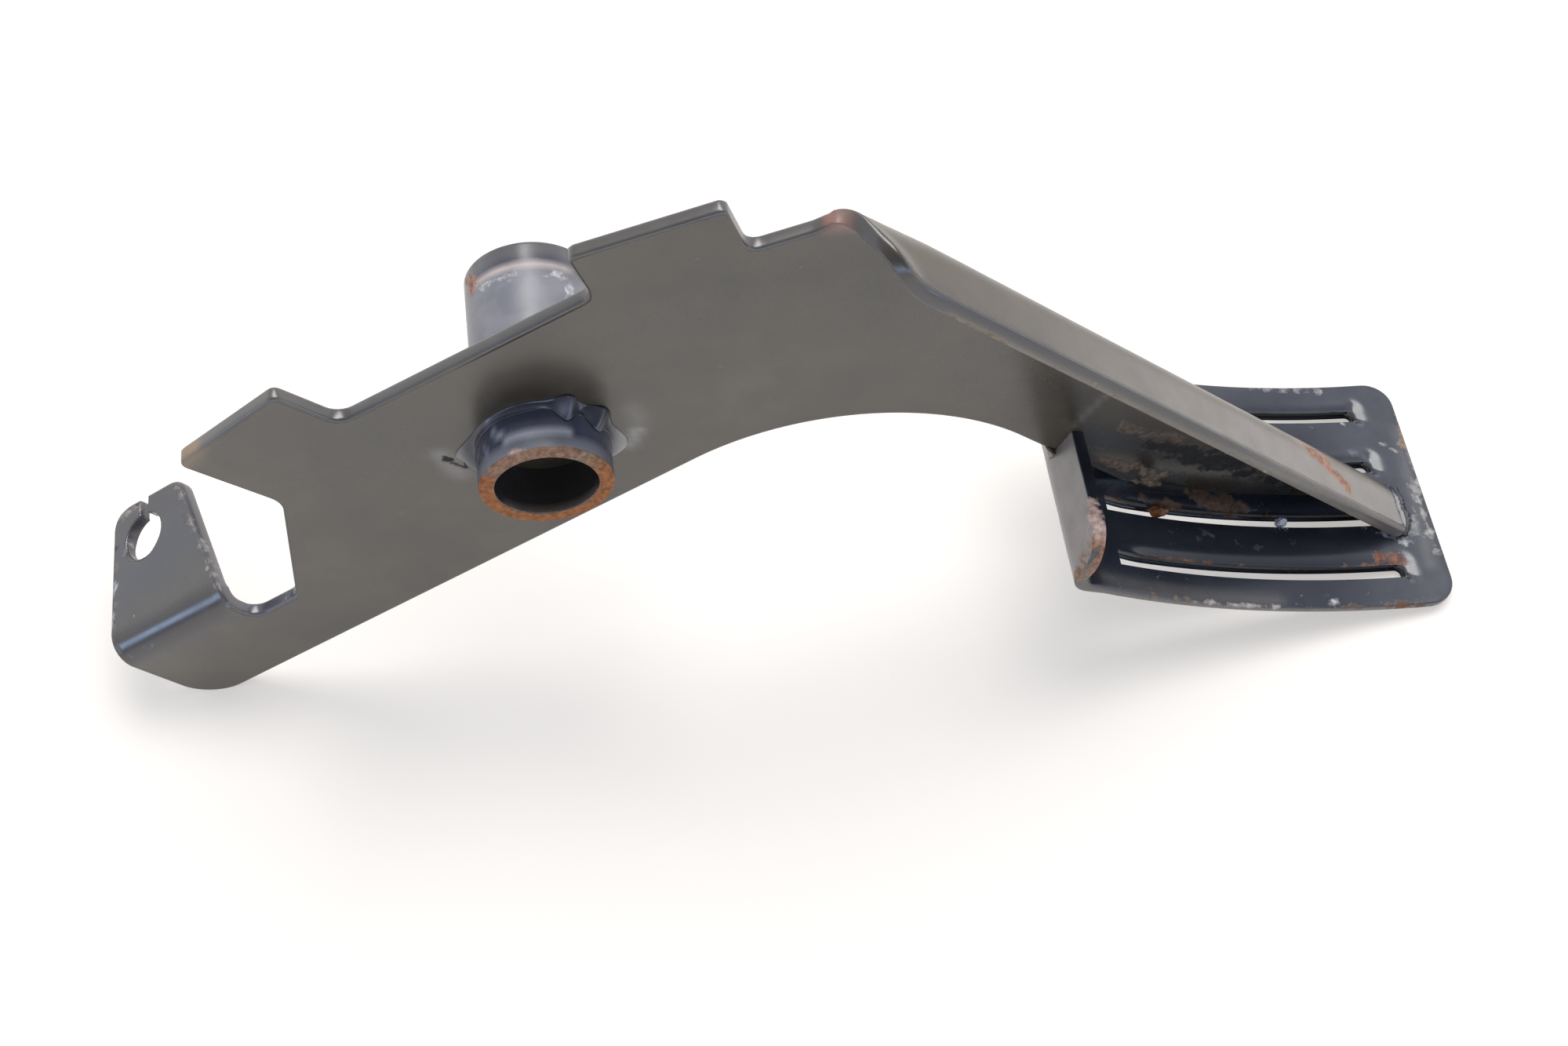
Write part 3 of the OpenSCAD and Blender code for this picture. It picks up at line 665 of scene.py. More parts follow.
class PEDAL_OT_tube(bpy.types.Operator):
    """Builds the pivot tube, turned about the pivot axis, with its edges broken and its ends rusted"""
    bl_idname = "pedal.tube"
    bl_label = "Pivot Tube"

    def execute(self, context):
        s, f = context.scene.pedal_sizes, context.scene.pedal_finish
        ro, ri, y0, y1 = s.tube_out / MM, s.tube_in / MM, -s.tube_front / MM, s.tube_back / MM
        q = np.linspace(0, pi / 2, EDGE_POINTS)
        e, i = TUBE_EDGE
        cos, sin = np.cos(q), np.sin(q)
        run = lambda r, y, n: cols(np.linspace(*r, n), np.linspace(*y, n))
        prof = join(
            run((ro, ro), (y1 - e - 0.3, y0 + e + 0.3), TUBE_ROWS),
            cols(ro - e + e * cos, y0 + e - e * sin),
            run((ro - e - 0.2, ri + i + 0.2), (y0, y0), 5),
            cols(ri + i - i * sin, y0 + i - i * cos),
            run((ri, ri), (y0 + i + 0.3, y1 - i - 0.3), TUBE_ROWS),
            cols(ri + i - i * cos, y1 - i + i * sin),
            run((ri + i + 0.2, ro - e - 0.2), (y1, y1), 5),
            cols(ro - e + e * sin, y1 - e + e * cos),
        )
        a = np.linspace(0, 2 * pi, TUBE_SIDES, endpoint=False)
        r, y = prof.T
        c, n = np.cos(a)[:, None], np.sin(a)[:, None]
        p = np.stack([c * r, y + 0 * c, n * r], 2)
        verts, tris, quads = grid_surface(p)
        x, yy, z = verts.T
        rad, ang = np.hypot(x, z), np.degrees(np.arctan2(z, x))
        skin, bore = step_up(rad, ro - 0.6, ro - 0.2), step_up(ro - 1.2 - rad, 0, 1)
        front, back = step_up(y0 + 0.9 - yy, 0, 0.7), step_up(yy - y1 + 0.9, 0, 0.7)
        up = step_up(z, -2, 8)
        top = step_up(np.abs(ang - 92), 62, 42)
        ring = np.maximum(front, bore * step_up(y0 + 2.2 - yy, 0, 1.2))
        line = lambda y, w: np.exp(-((yy - y) / w) ** 2) * skin
        # Painted highlight: a pale bluish band along the top of the tube before the sheet.
        sheen_band = line(-7.2 + 2.2 * step_up(ang, 112, 128), 1.3)
        sheen_band = sheen_band * step_up(ang, 50, 60) * step_up(-ang, -136, -126)
        film = coat(verts, TUBE_FILM, [
            (bore * 0.95, (0.03, 0.025, 0.02)),
            # Painted light: the lower inside wall near the front end is lightened to tan.
            (bore * step_up(y0 + 3.5 - yy, 0, 3) * step_up(-z, 0, 5) * 0.98, (0.24, 0.19, 0.15)),
            (back * 0.8, (0.06, 0.05, 0.045)),
            # Painted sheen: the top of the tube behind the sheet is made light grey.
            (skin * step_up(yy, 2, 8) * 0.92 * up * step_up(30.2 - yy, 0, 1.5), (0.2, 0.2, 0.225)),
            (line(28.5, 1.1) * top * 0.8, (0.33, 0.33, 0.34)),
            (line(31.0, 0.75) * top * 0.95, (0.5, 0.42, 0.4)),
            (skin * step_up(yy, 31.8, 33.0) * 0.85, (0.105, 0.1, 0.1)),
            # Painted highlight: a pale band on top near the front end.
            (line(y0 + 1.5, 1.2) * up * 0.95, (0.26, 0.265, 0.3)),
            (sheen_band * 0.95, (0.42, 0.42, 0.5)),
            # Painted sheen: a broad bluish lightening on top, before the sheet.
            (line(-5.5, 4.5) * up * 0.6, (0.065, 0.07, 0.11)),
        ])
        spot = coat(verts, TUBE_SPOT, [
            (ring * (1 - top) * (rad > ri + 0.2), (0.3, 0.105, 0.03)),
            (front * top * 0.9, (0.26, 0.14, 0.085)),
            (front * step_up(ang, 0, 25) * step_up(-ang, -65, -45), (0.22, 0.145, 0.09)),
            (line(28.5, 1.3) * top * 0.46, (0.4, 0.4, 0.41)),
        ])
        mat = paint("sleeve_paint", f.tube_colour, 1.8, f, -0.04)
        make("pivot_sleeve", (verts, tris, quads), film, spot, "pivot_tube", mat)
        return {"FINISHED"}


# Marks on the tube: wear, and a painted highlight
TUBE_FILM = [
    # Painted highlight on the upper left of the tube, before the sheet.
    (-9.8, -6, 8, -9, -9, 9, 1.2, 0.7, HIGHLIGHT_LILAC),
    (-12.5, 20, 2.2, -11.5, 26, 5.4, 1.2, 0.65, (0.05, 0.05, 0.06)),
    (-11.6, 35.6, 5.2, -9.4, 30, 8.6, 2.6, 0.6, (0.3, 0.15, 0.1)),
]
TUBE_SPOT = [
    (-11.6, 35.6, 5.2, -9.4, 30, 8.6, 1.9, 0.55, (0.33, 0.16, 0.1)),
    (-4.2, -11.4, 11.6, -2, -11.5, 12.3, 1.3, 0.66, (0.5, 0.36, 0.32)),
    (8, 20, 9.9, 9.5, 28, 8.4, 1.4, 0.45, CHALK),
    (-10.5, 12, 7.1, -9, 17, 8.9, 1.2, 0.4, CHALK),
    (11.2, -11.7, -0.5, 8, -11.7, -8, 1, 0.44, (0.14, 0.07, 0.045)),
    (-11, -11.7, -3, -4, -11.7, -10.6, 0.9, 0.42, (0.16, 0.075, 0.04)),
]


# Radius of the lip's fold, the pad's near and far sides, and the louvres' ends in degrees, pitch and sides
LIP_FOLD, PAD_SIDES = 4.35, (-29.6, 27.0)
LOUVRE_SPAN, LOUVRE_PITCH = (2.95, 10.8), 13.35
LOUVRES = ((-23.5, -18.7), (-10.45, -5.6), (3.1, 7.7), (16.6, 21.1))
# A louvre: widths of the round nose at its far side and outer end, length of its ramp, and the step over
# which its slope is measured
NOSE, END_NOSE, RAMP, SLOPE_STEP = 2.6, 1.6, 9.0, 0.02
# Grit on the third louvre's far edge: centre and half sizes
PEBBLES = (((120.4, -7.4, -55.2), (2.0, 1.5, 1.2)), ((147.6, -8.5, -66.9), (1.3, 1.2, 1.5)))


def pad_place(s, slots):
    """Forms the pad's blank. u is the length along the middle of the sheet from the start of its curve, v is
    across. Above u = 0 the sheet follows the pad's radius; below, it turns up in the lip's fold and runs
    straight. Beside each louvre it is drawn down: over the far edge and the outer end in a round nose, at the
    inner end in a flat ramp. Its thickness stands square to that slope, from differences of the depth, so
    that the far cut edge turns under."""
    r, depth, rf = s.pad_curve / MM, s.draw / MM, LIP_FOLD
    turn0 = radians(PAD_TURN[0])
    bend = radians(LIP[0])

    def drawn(u, v):
        down = np.zeros(len(u))
        for u0, u1, v0, v1 in slots:
            far = unit(1 - (v - v1) / NOSE) * (v > v1 - 1.5)
            past = unit(1 - (u - u1) / END_NOSE)
            along = unit((u - u0) / RAMP) * past
            beside = unit((v - v0) / 1.2) * unit(1 - (v - v1) / 2.2)
            end = past * (u > u1 - 1.0) * beside
            nose = (1 - np.sqrt(1 - (0.95 * far) ** 2)) / 0.6878
            flat = end * end * (3 - 2 * end) * (v > v0)
            down = np.maximum(down, np.maximum(nose * step_up(along, 0, 1), flat))
        return down

    def place(uv, d):
        u, v = uv.T
        a = turn0 - np.maximum(u, 0) / r
        mid = PAD_MID + cols(-np.sin(a), -np.cos(a)) * r
        up = cols(np.sin(a), np.cos(a))
        t = np.clip(-u / rf, 0, bend)
        rest = np.maximum(-u - rf * bend, 0)
        b = turn0 + t
        fold_mid = PAD_MID - normal(-PAD_TURN[0]) * (r - rf)
        sin, cos = np.sin(b), np.cos(b)
        bent = fold_mid + cols(-sin, -cos) * rf + cols(-cos, sin) * rest[:, None]
        low = u < 0
        mid = np.where(low[:, None], bent, mid)
        up = np.where(low[:, None], cols(sin, cos), up)
        down, h = drawn(u, v), SLOPE_STEP
        su, sv = depth * (drawn(u + h, v) - down) / h, depth * (drawn(u, v + h) - down) / h
        lean = np.sqrt(1 + su ** 2 + sv ** 2)
        on = cols(up[:, 1], -up[:, 0])
        p = mid - up * (down * depth)[:, None] + (up + on * su[:, None]) * (d / lean)[:, None]
        return cols(p[:, 0], v + d * sv / lean, p[:, 1])

    return place


class PEDAL_OT_pad(bpy.types.Operator):
    """Builds the foot pad: a curved sheet with a lip turned up at its inner end and four louvres"""
    bl_idname = "pedal.pad"
    bl_label = "Foot Pad"

    def execute(self, context):
        s, f = context.scene.pedal_sizes, context.scene.pedal_finish
        rng = np.random.default_rng(context.scene.pedal_stage.seed + 1)
        r = s.pad_curve / MM
        u_end = radians(PAD_TURN[0] - PAD_TURN[1]) * r
        u_lip = -LIP_FOLD * radians(LIP[0]) - LIP[1]
        y0, y1 = PAD_SIDES
        outer = rounded([(u_lip, y0, 8.5), (u_end, y0, 6), (u_end, y1, 6), (u_lip, y1, 8.5)], 1.2)
        u0, u1 = (radians(LOUVRE_SPAN[0]) * r, radians(PAD_TURN[0] - LOUVRE_SPAN[1]) * r)
        slots = [(u0, u1, *v) for v in LOUVRES]
        cuts = [rounded([(a, c, 0.7), (a, d, 0.9), (b, d, 1.9), (b, c, 0.7)], 0.9) for a, b, c, d in slots]
        flat = [outer] + [cut[::-1] for cut in cuts]
        close = lambda p: np.abs((p[:, 1] - y0 - 2.5) % LOUVRE_PITCH - 7.5) < 4.3
        pts = fill_grid(flat, s.grid / MM, 1.7, [(close, 0.95)])
        if len(pts) < 500:
            raise RuntimeError("the pad's blank came out empty")
        foot_side = 0.4 + (s.pad_edge / MM - 0.4) * step_up(outer[:, 0], -3, 6)
        low = [foot_side] + [np.full(len(cut), 0.4) for cut in cuts]
        high = [np.full(len(loop), 0.35) for loop in flat]
        half = s.pad_sheet / MM / 2
        verts, tris, quads, rim = sheet_surface(flat, pts, half, low, high, pad_place(s, slots))
        x, y, z = verts.T
        count = len(verts)
        for centre, size in PEBBLES:
            lump, more, panes = pebble(rng, np.array(centre), size)
            tris = join(tris, more + len(verts))
            quads = join(quads, panes + len(verts))
            verts = join(verts, lump)
        pad = lambda m: join(m, np.zeros(len(verts) - count))
        before = step_up(0.4868 * z - x, -120.9, -119.6) * (x < 104.5)
        outer_lip = before * (1 - rim) * step_up(z, -46.5, -43)
        film = coat(verts, PAD_FILM, [
            # Painted reflection: the lip's outer face is made warm pale grey.
            (pad(outer_lip * 0.95), (0.235, 0.208, 0.192)),
            (pad(step_up(x, 150, 176) * (1 - rim) * 0.42), (0.115, 0.118, 0.135)),
            (pad(step_up(y, 8, 20) * (1 - rim) * 0.3), (0.11, 0.112, 0.13)),
            (pad(rim * (y < -28) * 0.55), (0.075, 0.062, 0.05)),
        ])
        mat = paint("tread_paint", f.pad_colour, 2.2, f, -0.06)
        make("tread", (verts, tris, quads), film, coat(verts, PAD_SPOT), "foot_pad", mat)
        return {"FINISHED"}


# Marks on the pad: wear, and painted highlights at two louvres' outer ends
PAD_FILM = [
    (178, -20, -75, 181, 14, -75.3, 3, 0.5, (0.2, 0.2, 0.21)),
    (120, 24, -54, 176, 24.5, -74, 4, 0.26, (0.16, 0.165, 0.185)),
    (108, -13.5, -48, 166, -14.5, -72, 4.2, 0.5, (0.05, 0.055, 0.068)),
    (104, -27, -44, 142, -28, -65, 1.6, 0.34, (0.2, 0.18, 0.16)),
    (110, -3, -50, 112, -9, -50.5, 3, 0.34, (0.11, 0.115, 0.12)),
    (99, -27, -31.5, 99, -28.9, -33.8, 2.2, 0.75, (0.22, 0.125, 0.08)),
    # Painted highlights at the outer ends of two louvres.
    (172.5, -18.6, -74.2, 174.2, -21, -74.6, 0.8, 0.5, (0.25, 0.26, 0.3)),
    (168.7, 9.3, -73.2, 174, 6.8, -74.6, 0.8, 0.48, (0.25, 0.26, 0.3)),
    (158, -11, -70, 172, -13, -73.5, 3, 0.24, (0.16, 0.165, 0.19)),
]
PAD_SPOT = [
    (102.4, -19.5, -27, 103, -25, -29, 2.6, 0.68, (0.52, 0.37, 0.325)),
    (103, -25.5, -29.5, 101.4, -29.3, -34.9, 2.8, 0.66, (0.3, 0.15, 0.085)),
    (99, -27, -32, 98, -29.2, -36.5, 2.4, 0.62, (0.28, 0.165, 0.105)),
    (130.5, -3.2, -59.8, 140, -5.2, -64.8, 3.4, 0.62, BROWN),
    (117.2, -4.9, -53, 124.9, -6.2, -57.8, 2.1, 0.6, BROWN),
    (119.4, -7.6, -55, 121.6, -7.6, -56, 2.2, 0.95, ORANGE),
    (147.6, -8.5, -66.9, 147.7, -8.5, -67, 1.8, 0.95, (0.6, 0.62, 0.66)),
    (104, -6.4, -45.6, 146, -6.6, -68, 0.9, 0.58, (0.21, 0.105, 0.062)),
    (106, -19.6, -48, 152, -19.8, -70.4, 0.9, 0.56, (0.21, 0.11, 0.065)),
    (150, -19, -69.4, 166, -19, -73.2, 0.6, 0.42, (0.19, 0.095, 0.055)),
    (166.9, -17.7, -73.3, 172, -18, -74.4, 1.9, 0.66, (0.2, 0.085, 0.052)),
    (105.5, -29.3, -46.8, 123.6, -29.3, -56, 1.2, 0.46, (0.2, 0.155, 0.12)),
    (123.6, -29.3, -56, 141.8, -29.4, -64.9, 1.1, 0.5, (0.38, 0.33, 0.31)),
    (145, -29.6, -67, 176, -29.3, -75.5, 1.1, 0.4, (0.15, 0.085, 0.05)),
    (166.8, -29.5, -73, 175, -29.4, -75.5, 1.6, 0.5, (0.13, 0.06, 0.035)),
    (153, -27.4, -68.8, 154.6, -28.6, -69.3, 1.2, 0.5, CHALK),
    (160, -26.4, -71.2, 162.5, -27.2, -72, 1, 0.4, (0.28, 0.28, 0.29)),
    (147, -27, -66.9, 149, -27.4, -67.6, 1, 0.46, CHALK),
    (180.2, -17, -75, 181.4, 6, -75.2, 1.6, 0.44, (0.32, 0.31, 0.29)),
    (176.4, -14, -74.6, 180, -6, -75, 2.4, 0.32, (0.22, 0.22, 0.22)),
    (181.5, 4, -75.2, 181.8, 16, -75.3, 1.2, 0.48, TAN),
    (172.5, -11.5, -73.8, 175, -15, -74.4, 1.2, 0.5, CHALK),
    (166, -9.5, -72.4, 172, -13.5, -73.8, 0.8, 0.44, CHALK),
    (176.3, 11.3, -74.4, 181, 7, -75, 0.8, 0.44, (0.3, 0.29, 0.27)),
    (181.2, 14, -75.1, 181.4, 19, -75.3, 0.8, 0.48, RUST),
    (150, 26.3, -68, 169, 25.6, -73, 1.2, 0.46, (0.28, 0.27, 0.27)),
    (168, 18, -73, 172, 14, -73.8, 1.2, 0.4, CHALK),
    (118, -12.5, -53, 150, -14, -68, 3, 0.26, STEEL),
    (108, -24, -47.5, 116, -26, -52, 2.2, 0.36, (0.13, 0.11, 0.09)),
]


def pebble(rng, centre, size, n=16, m=22):
    """A rough lump: an ellipsoid whose radius varies by seeded sines of its longitude and latitude."""
    lat = np.linspace(0, pi, n + 2)[1:-1, None]
    lon = np.linspace(0, 2 * pi, m, endpoint=False)[None]
    r = 1 + 0.07 * np.sin(3 * lon + rng.uniform(0, 6)) * np.sin(lat)
    r = r + 0.09 * np.sin(5 * lon + rng.uniform(0, 6)) * np.sin(2 * lat)
    level = r * np.sin(lat)
    p = np.stack([level * np.cos(lon), level * np.sin(lon), -r * np.cos(lat) + 0 * lon], 2)
    return grid_surface(centre + p * np.array(size), False)


def bead(ends, along, across, legs, bulge, sections=11):
    """A fillet bead: at each point of a path stands a closed section with its corner at ends[i] and two legs
    of the lengths legs[i], along the unit vectors along[i] and across[i], or along one vector each. A
    parabola joins the legs' ends, with its control point at bulge[i] of the way from the corner to the legs'
    sum: 0 is hollow, 0.5 flat and 1 full. The corner is drawn back a little into the joint. Returns a grid
    (path, section, 3)."""
    along, across = np.broadcast_to(along, ends.shape), np.broadcast_to(across, ends.shape)
    t = np.linspace(0, 1, sections)[None, :, None]
    a, b = along[:, None] * legs[:, :1, None], across[:, None] * legs[:, 1:, None]
    face = (1 - t) ** 2 * a + 2 * t * (1 - t) * bulge[:, None, None] * (a + b) + t ** 2 * b
    root = -0.25 * (along + across)[:, None]
    return ends[:, None] + np.concatenate([face, root], 1)


def weld(name, p, node, mat, film=(), spot=(), ring=False):
    """Makes a piece from a bead's grid: a ring, or a bar with both ends closed."""
    surface = grid_surface(p, ring)
    make(name, surface, coat(surface[0], film), coat(surface[0], spot), node, mat)


# Unit vector across the arm's sheet
ASIDE = np.array([0.0, 1.0, 0.0])
# Lumps of the beads round the tube: angle and width in degrees, added legs on the sheet and on the tube
FRONT_LUMPS = ((186, 20, 3.6, 1.6), (61, 9, 2.2, 2.6), (30, 12, 2.0, 2.6), (-20, 18, 3.0, 1.0))
BACK_LUMPS = ((150, 25, 1.8, 1.5), (20, 30, 1.8, 1.0), (265, 30, 1.5, 1.5))
# The pit in the front bead: x, z, radius and depth
PIT = (-16.2, -2.4, 1.1, 1.6)
# Points along each bead
ROUND_POINTS, TOE_POINTS, HEEL_POINTS, LIP_POINTS = 240, 40, 44, 24
# The toe bead's corner, along and across the flange; the heel stitch's radius about the pad's centre, its y
# and its turns; the lip spot's radius, slope in degrees, and distances from the lip's line and the pivot
TOE_AT = (169.95, 80.75)
HEEL_R, HEEL_Y, HEEL_SPAN = 167.72, -1.52, (6.3, 11.2)
LIP_R, LIP_SLOPE, LIP_OFF, LIP_WEB = 164.7, 64.05, 5.8, 51.6
# Marks on the welds: wear, painted highlights and painted shade
BEAD_FILM = [
    (-17.5, -2, 2, -15.5, -3, -7, 2.6, 0.86, (0.32, 0.3, 0.27)),
    # Painted shade in the pit of the front bead.
    (-16.6, -2.5, -1.4, -15.6, -2.5, -3.4, 0.9, 0.98, BLACK),
    (14, -2, -6.5, 16, -2, -1, 2.6, 0.92, (0.42, 0.39, 0.355)),
    # Painted highlights on the front bead's upper lumps.
    (9.5, -3, 12.5, 8.5, -3.5, 13.5, 1.2, 0.55, HIGHLIGHT_LILAC),
    (6, -4.2, 13, 7.5, -4, 14, 1.3, 0.6, HIGHLIGHT_LILAC),
    (-8, -3.5, 11.5, -11, -3.5, 8.5, 1.2, 0.4, HIGHLIGHT_LILAC),
]
# Painted shade in the pit of the front bead.
BEAD_SPOT = [(-18.6, -1.5, -0.8, -15.8, -1.5, -4, 1.1, 0.85, BLACK)]
LIP_FILM = [(98, 0, -33, 99, 0, -33, 5, 0.9, (0.26, 0.2, 0.13))]
LIP_SPOT = [(99, -2, -33, 99.2, 2, -33, 1.6, 0.5, RUST)]


class PEDAL_OT_welds(bpy.types.Operator):
    """Builds the weld beads, hand-laid and uneven: round the tube on both sides of the arm, and at the pad"""
    bl_idname = "pedal.welds"
    bl_label = "Welds"

    def execute(self, context):
        s, f = context.scene.pedal_sizes, context.scene.pedal_finish
        rng = np.random.default_rng(context.scene.pedal_stage.seed)
        mat = paint("weld_paint_look", f.weld_colour, 1.6, f, -0.08)
        a = np.linspace(0, 2 * pi, ROUND_POINTS, endpoint=False)
        ray = cols(np.cos(a), 0 * a, np.sin(a))

        def lump(at, width):
            off = np.angle(np.exp(1j * (a - radians(at))))
            return np.exp(-((off / radians(width)) ** 2))

        for name, node, side, lumps, film, spot in (
            ("front_bead", "front_weld", -1, FRONT_LUMPS, BEAD_FILM, BEAD_SPOT),
            ("back_bead", "rear_weld", 1, BACK_LUMPS, (), ()),
        ):
            out = 0.9 + 0.15 * waves(rng, 9, a) + sum(h * lump(at, w) for at, w, h, _ in lumps)
            up = 1.6 + 0.25 * waves(rng, 9, a) + sum(h * lump(at, w) for at, w, _, h in lumps)
            legs = np.clip(cols(out, up), 0.7, 4.55)
            bulge = 0.2 + 0.05 * waves(rng, 12, a * 2) + 0.42 * sum(lump(at, w) for at, w, *_ in lumps)
            ends = ray * (s.tube_out / MM) + np.array([0, side * s.sheet / MM / 2, 0])
            p = bead(ends, ray, [0, side, 0], legs, np.clip(bulge, 0.05, 0.75))
            if side < 0:
                x, z, r, depth = PIT
                p[..., 1] += depth * np.exp(-((p[..., 0] - x) ** 2 + (p[..., 2] - z) ** 2 * 0.6) / r ** 2)
                p[..., 1] = np.minimum(p[..., 1], -1.4)
            weld(name, p if side < 0 else p[::-1], node, mat, film, spot, True)
        along, across = np.insert(FALL, 1, 0), np.insert(FALL_UP, 1, 0)
        mid = np.insert(PAD_MID, 1, 0)

        # toe bead: along the flange's square end
        y = np.linspace(-13.0, 0.0, TOE_POINTS)
        corner = TOE_AT[0] * along + TOE_AT[1] * across
        to = corner - mid
        down = np.array([-to[2], 0, to[0]])
        down /= np.linalg.norm(down)
        fade = np.sqrt(unit(1 - np.abs((y + 6.5) / 6.9) ** 4))
        legs = cols(3.0 * fade + 0.2, (3.9 + 0.5 * waves(rng, 6, y)) * fade + 0.3)
        p = bead(corner + y[:, None] * ASIDE, across, down, legs, 0.62 + 0.06 * waves(rng, 8, y * 1.5))
        weld("toe_bead", p[::-1], "toe_weld", mat)

        # heel stitch: along the joint of the web's front and the pad's hollow side
        t = np.radians(PAD_TURN[0] - np.linspace(*HEEL_SPAN, HEEL_POINTS))
        up = cols(np.sin(t), 0 * t, np.cos(t))
        fade = np.sqrt(unit(1 - np.abs(np.linspace(-1, 1, HEEL_POINTS)) ** 3))
        high = (1.0 + 0.2 * waves(rng, 5, t * 60)) * fade + 0.15
        wide = (1.7 + 0.3 * waves(rng, 5, t * 60)) * fade + 0.15
        ends = mid - up * HEEL_R + HEEL_Y * ASIDE
        p = bead(ends, up, -ASIDE, cols(high, wide), 0.3 + 0.06 * waves(rng, 8, t * 90))
        dull = paint("heel_paint_look", (0.01, 0.009, 0.009), (1.8, 16 / 9, 14 / 9), f, 0.3, 1.3)
        weld("heel_bead", p, "heel_weld", dull, (), PAD_SPOT + ARM_SPOT)

        # lip spot: where the web's edge meets the lip
        y = np.linspace(-2.3, 2.3, LIP_POINTS)
        lip_up = normal(LIP_SLOPE)
        foot = PAD_MID - LIP_R * normal(-PAD_TURN[0])
        x, z = np.linalg.solve(np.array([lip_up, FALL_UP]), [foot @ lip_up + LIP_OFF, LIP_WEB])
        leg = 2.8 * np.sqrt(unit(1 - np.abs(y / 2.35) ** 3)) + 0.1
        ends = np.array([x, 0, z]) + y[:, None] * ASIDE
        lip_down = np.insert(-direction(LIP_SLOPE), 1, 0)
        weld("lip_bead", bead(ends, -along, lip_down, cols(leg, leg), 0.62 + 0 * y), "lip_weld", mat,
            LIP_FILM, LIP_SPOT)
        return {"FINISHED"}


# Half the floor's side, in metres, and its colours
FLOOR_HALF, FLOOR_WHITE, FLOOR_LIGHT = 3.0, (0.93, 0.885, 0.84, 1), (1.0, 0.955, 0.9, 1)
# The photo's camera: where it stands, in metres, where it looks, and its right-hand side
EYE, LOOK, RIGHT = (0.045, -0.2144, 0.3225), (-0.0065, 0.5011, -0.8653), (0.9871, -0.1355, -0.0858)


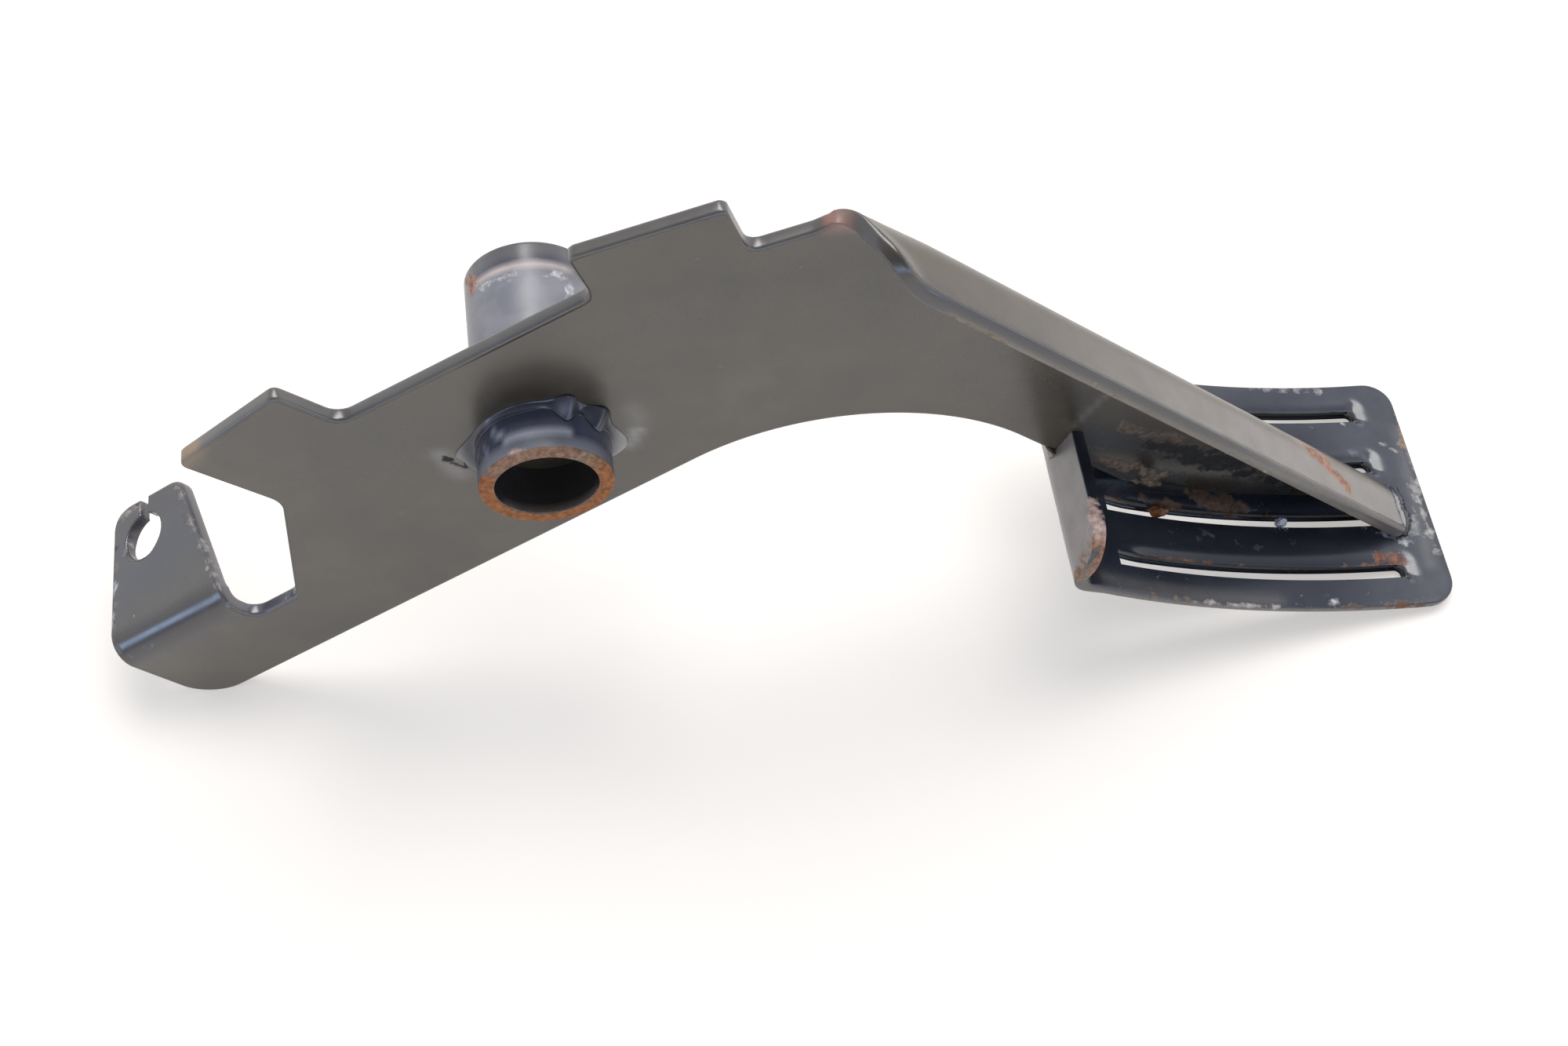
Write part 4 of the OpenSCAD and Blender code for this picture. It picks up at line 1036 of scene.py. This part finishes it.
class PEDAL_OT_stage(bpy.types.Operator):
    """Sets the floor, the soft light from above and around, three cool, low lights, and the camera"""
    bl_idname = "pedal.stage"
    bl_label = "Stage"

    def execute(self, context):
        st = context.scene.pedal_stage
        z, h = st.floor_z, FLOOR_HALF
        mesh = bpy.data.meshes.new("floor")
        mesh.from_pydata([(-h, -h, z), (h, -h, z), (h, h, z), (-h, h, z)], [], [(0, 1, 2, 3)])
        floor = link("floor", mesh)
        mat, tree, shader, add = material_nodes("floor_white")
        shader.inputs["Base Color"].default_value = FLOOR_WHITE
        shader.inputs["Roughness"].default_value = 0.9
        shader.inputs["Specular IOR Level"].default_value = 0.0
        ray = add("ShaderNodeLightPath").outputs
        seen = add("ShaderNodeMath", {0: ray["Is Camera Ray"], 1: ray["Is Glossy Ray"]}, operation="MAXIMUM")
        half_lit = add("ShaderNodeMath", {0: seen.outputs[0], 1: st.floor_glow}, operation="MULTIPLY")
        glow = add("ShaderNodeEmission", {"Color": FLOOR_LIGHT, "Strength": 1.05})
        both = add("ShaderNodeMixShader", {0: half_lit.outputs[0], 1: shader.outputs[0], 2: glow.outputs[0]})
        tree.links.new(both.outputs[0], tree.nodes["Material Output"].inputs[0])
        mesh.materials.append(mat)
        floor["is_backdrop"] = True
        world = bpy.data.worlds.new("studio")
        world.use_nodes = True
        add = node_maker(world.node_tree)
        toward = add("ShaderNodeSeparateXYZ", {0: add("ShaderNodeTexCoord").outputs["Generated"]}).outputs
        fade = add("ShaderNodeValToRGB", {"Fac": toward["Z"]})
        fade.color_ramp.interpolation = "EASE"
        for e, (at, v) in zip(fade.color_ramp.elements, ((0.08, 1.0), (0.62, st.zenith))):
            e.position, e.color = at, (0.93 * v, 0.97 * v, 1.05 * v, 1)
        front = add("ShaderNodeMapRange", {0: toward["Y"], 1: -0.75, 2: 0.0, 3: st.front, 4: 1.0})
        both = {0: 1.0, 6: fade.outputs["Color"], 7: front.outputs[0]}
        dim = add("ShaderNodeMix", both, data_type="RGBA", blend_type="MULTIPLY")
        sky = world.node_tree.nodes["Background"]
        world.node_tree.links.new(dim.outputs[2], sky.inputs["Color"])
        sky.inputs["Strength"].default_value = st.sky
        context.scene.world = world
        white, cool, blue = (1.0, 0.99, 0.97), (0.5, 0.7, 1.0), (0.5, 0.68, 1.0)
        strip, small = (1.6, 0.13), (0.34, 0.14)
        for name, at, aim, size, power, hue in (
            ("soft_box", (0.25, 0.3, 0.95), (0.03, 0.0, -0.03), (0.9, 0.6), st.box_power, white),
            ("side_strip", (-0.02, -0.85, 0.19), (-0.02, 0.0, -0.04), strip, st.side_power, cool),
            ("left_glint", (-0.99, -0.42, 0.18), (-0.09, 0.0, -0.05), small, st.glint_power, blue),
            ("right_glint", (0.94, -0.56, 0.13), (0.14, 0.0, -0.06), small, st.glint_power, blue),
        ):
            light = bpy.data.lights.new(name, "AREA")
            light.shape, light.energy, light.color = "RECTANGLE", power, hue
            light.size, light.size_y = size
            lamp = link(name, light)
            back = (Vector(at) - Vector(aim)).normalized()
            lamp.matrix_world = Matrix.Translation(at) @ back.to_track_quat("Z", "Y").to_matrix().to_4x4()
        cam = bpy.data.cameras.new("view")
        cam.sensor_fit, cam.sensor_width, cam.lens = "HORIZONTAL", 36.0, st.lens
        cam.clip_start = 0.01
        eye = link("view", cam)
        look, right = Vector(LOOK).normalized(), Vector(RIGHT)
        right = (right - look * right.dot(look)).normalized()
        up = right.cross(look)
        turn = Matrix((right, up, -look)).transposed().to_4x4()
        eye.matrix_world = Matrix.Translation(EYE) @ turn
        context.scene.camera = eye
        context.scene.view_settings.view_transform = "Standard"
        return {"FINISHED"}


class PEDAL_PT_panel(bpy.types.Panel):
    """Lists the builders of the pedal's surfaces"""
    bl_label = "Pedal"
    bl_idname = "PEDAL_PT_panel"
    bl_space_type = "VIEW_3D"
    bl_region_type = "UI"
    bl_category = "Pedal"

    def draw(self, context):
        col = self.layout.column(align=True)
        for op in OPERATORS:
            col.operator(op.bl_idname)
        for name, group in GROUPS.items():
            box = self.layout.box()
            for key in group.__annotations__:
                box.prop(getattr(context.scene, name), key)


GROUPS = {"pedal_sizes": PedalSizes, "pedal_finish": PedalFinish, "pedal_stage": PedalStage}
OPERATORS = (PEDAL_OT_arm, PEDAL_OT_tube, PEDAL_OT_pad, PEDAL_OT_welds, PEDAL_OT_stage)
CLASSES = (*GROUPS.values(), *OPERATORS, PEDAL_PT_panel)


def register():
    for c in CLASSES:
        bpy.utils.register_class(c)
    for key, group in GROUPS.items():
        setattr(bpy.types.Scene, key, PointerProperty(type=group))


def unregister():
    for key in GROUPS:
        delattr(bpy.types.Scene, key)
    for c in reversed(CLASSES):
        bpy.utils.unregister_class(c)


def main():
    register()
    bpy.ops.pedal.arm()
    bpy.ops.pedal.tube()
    bpy.ops.pedal.pad()
    bpy.ops.pedal.welds()
    bpy.ops.pedal.stage()
    plain = lambda b: [[float(v) for v in row] for row in b]
    {"frame": plain(LOAD_BOUNDS), "looks": plain(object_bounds())}


if __name__ == "__main__":
    main()
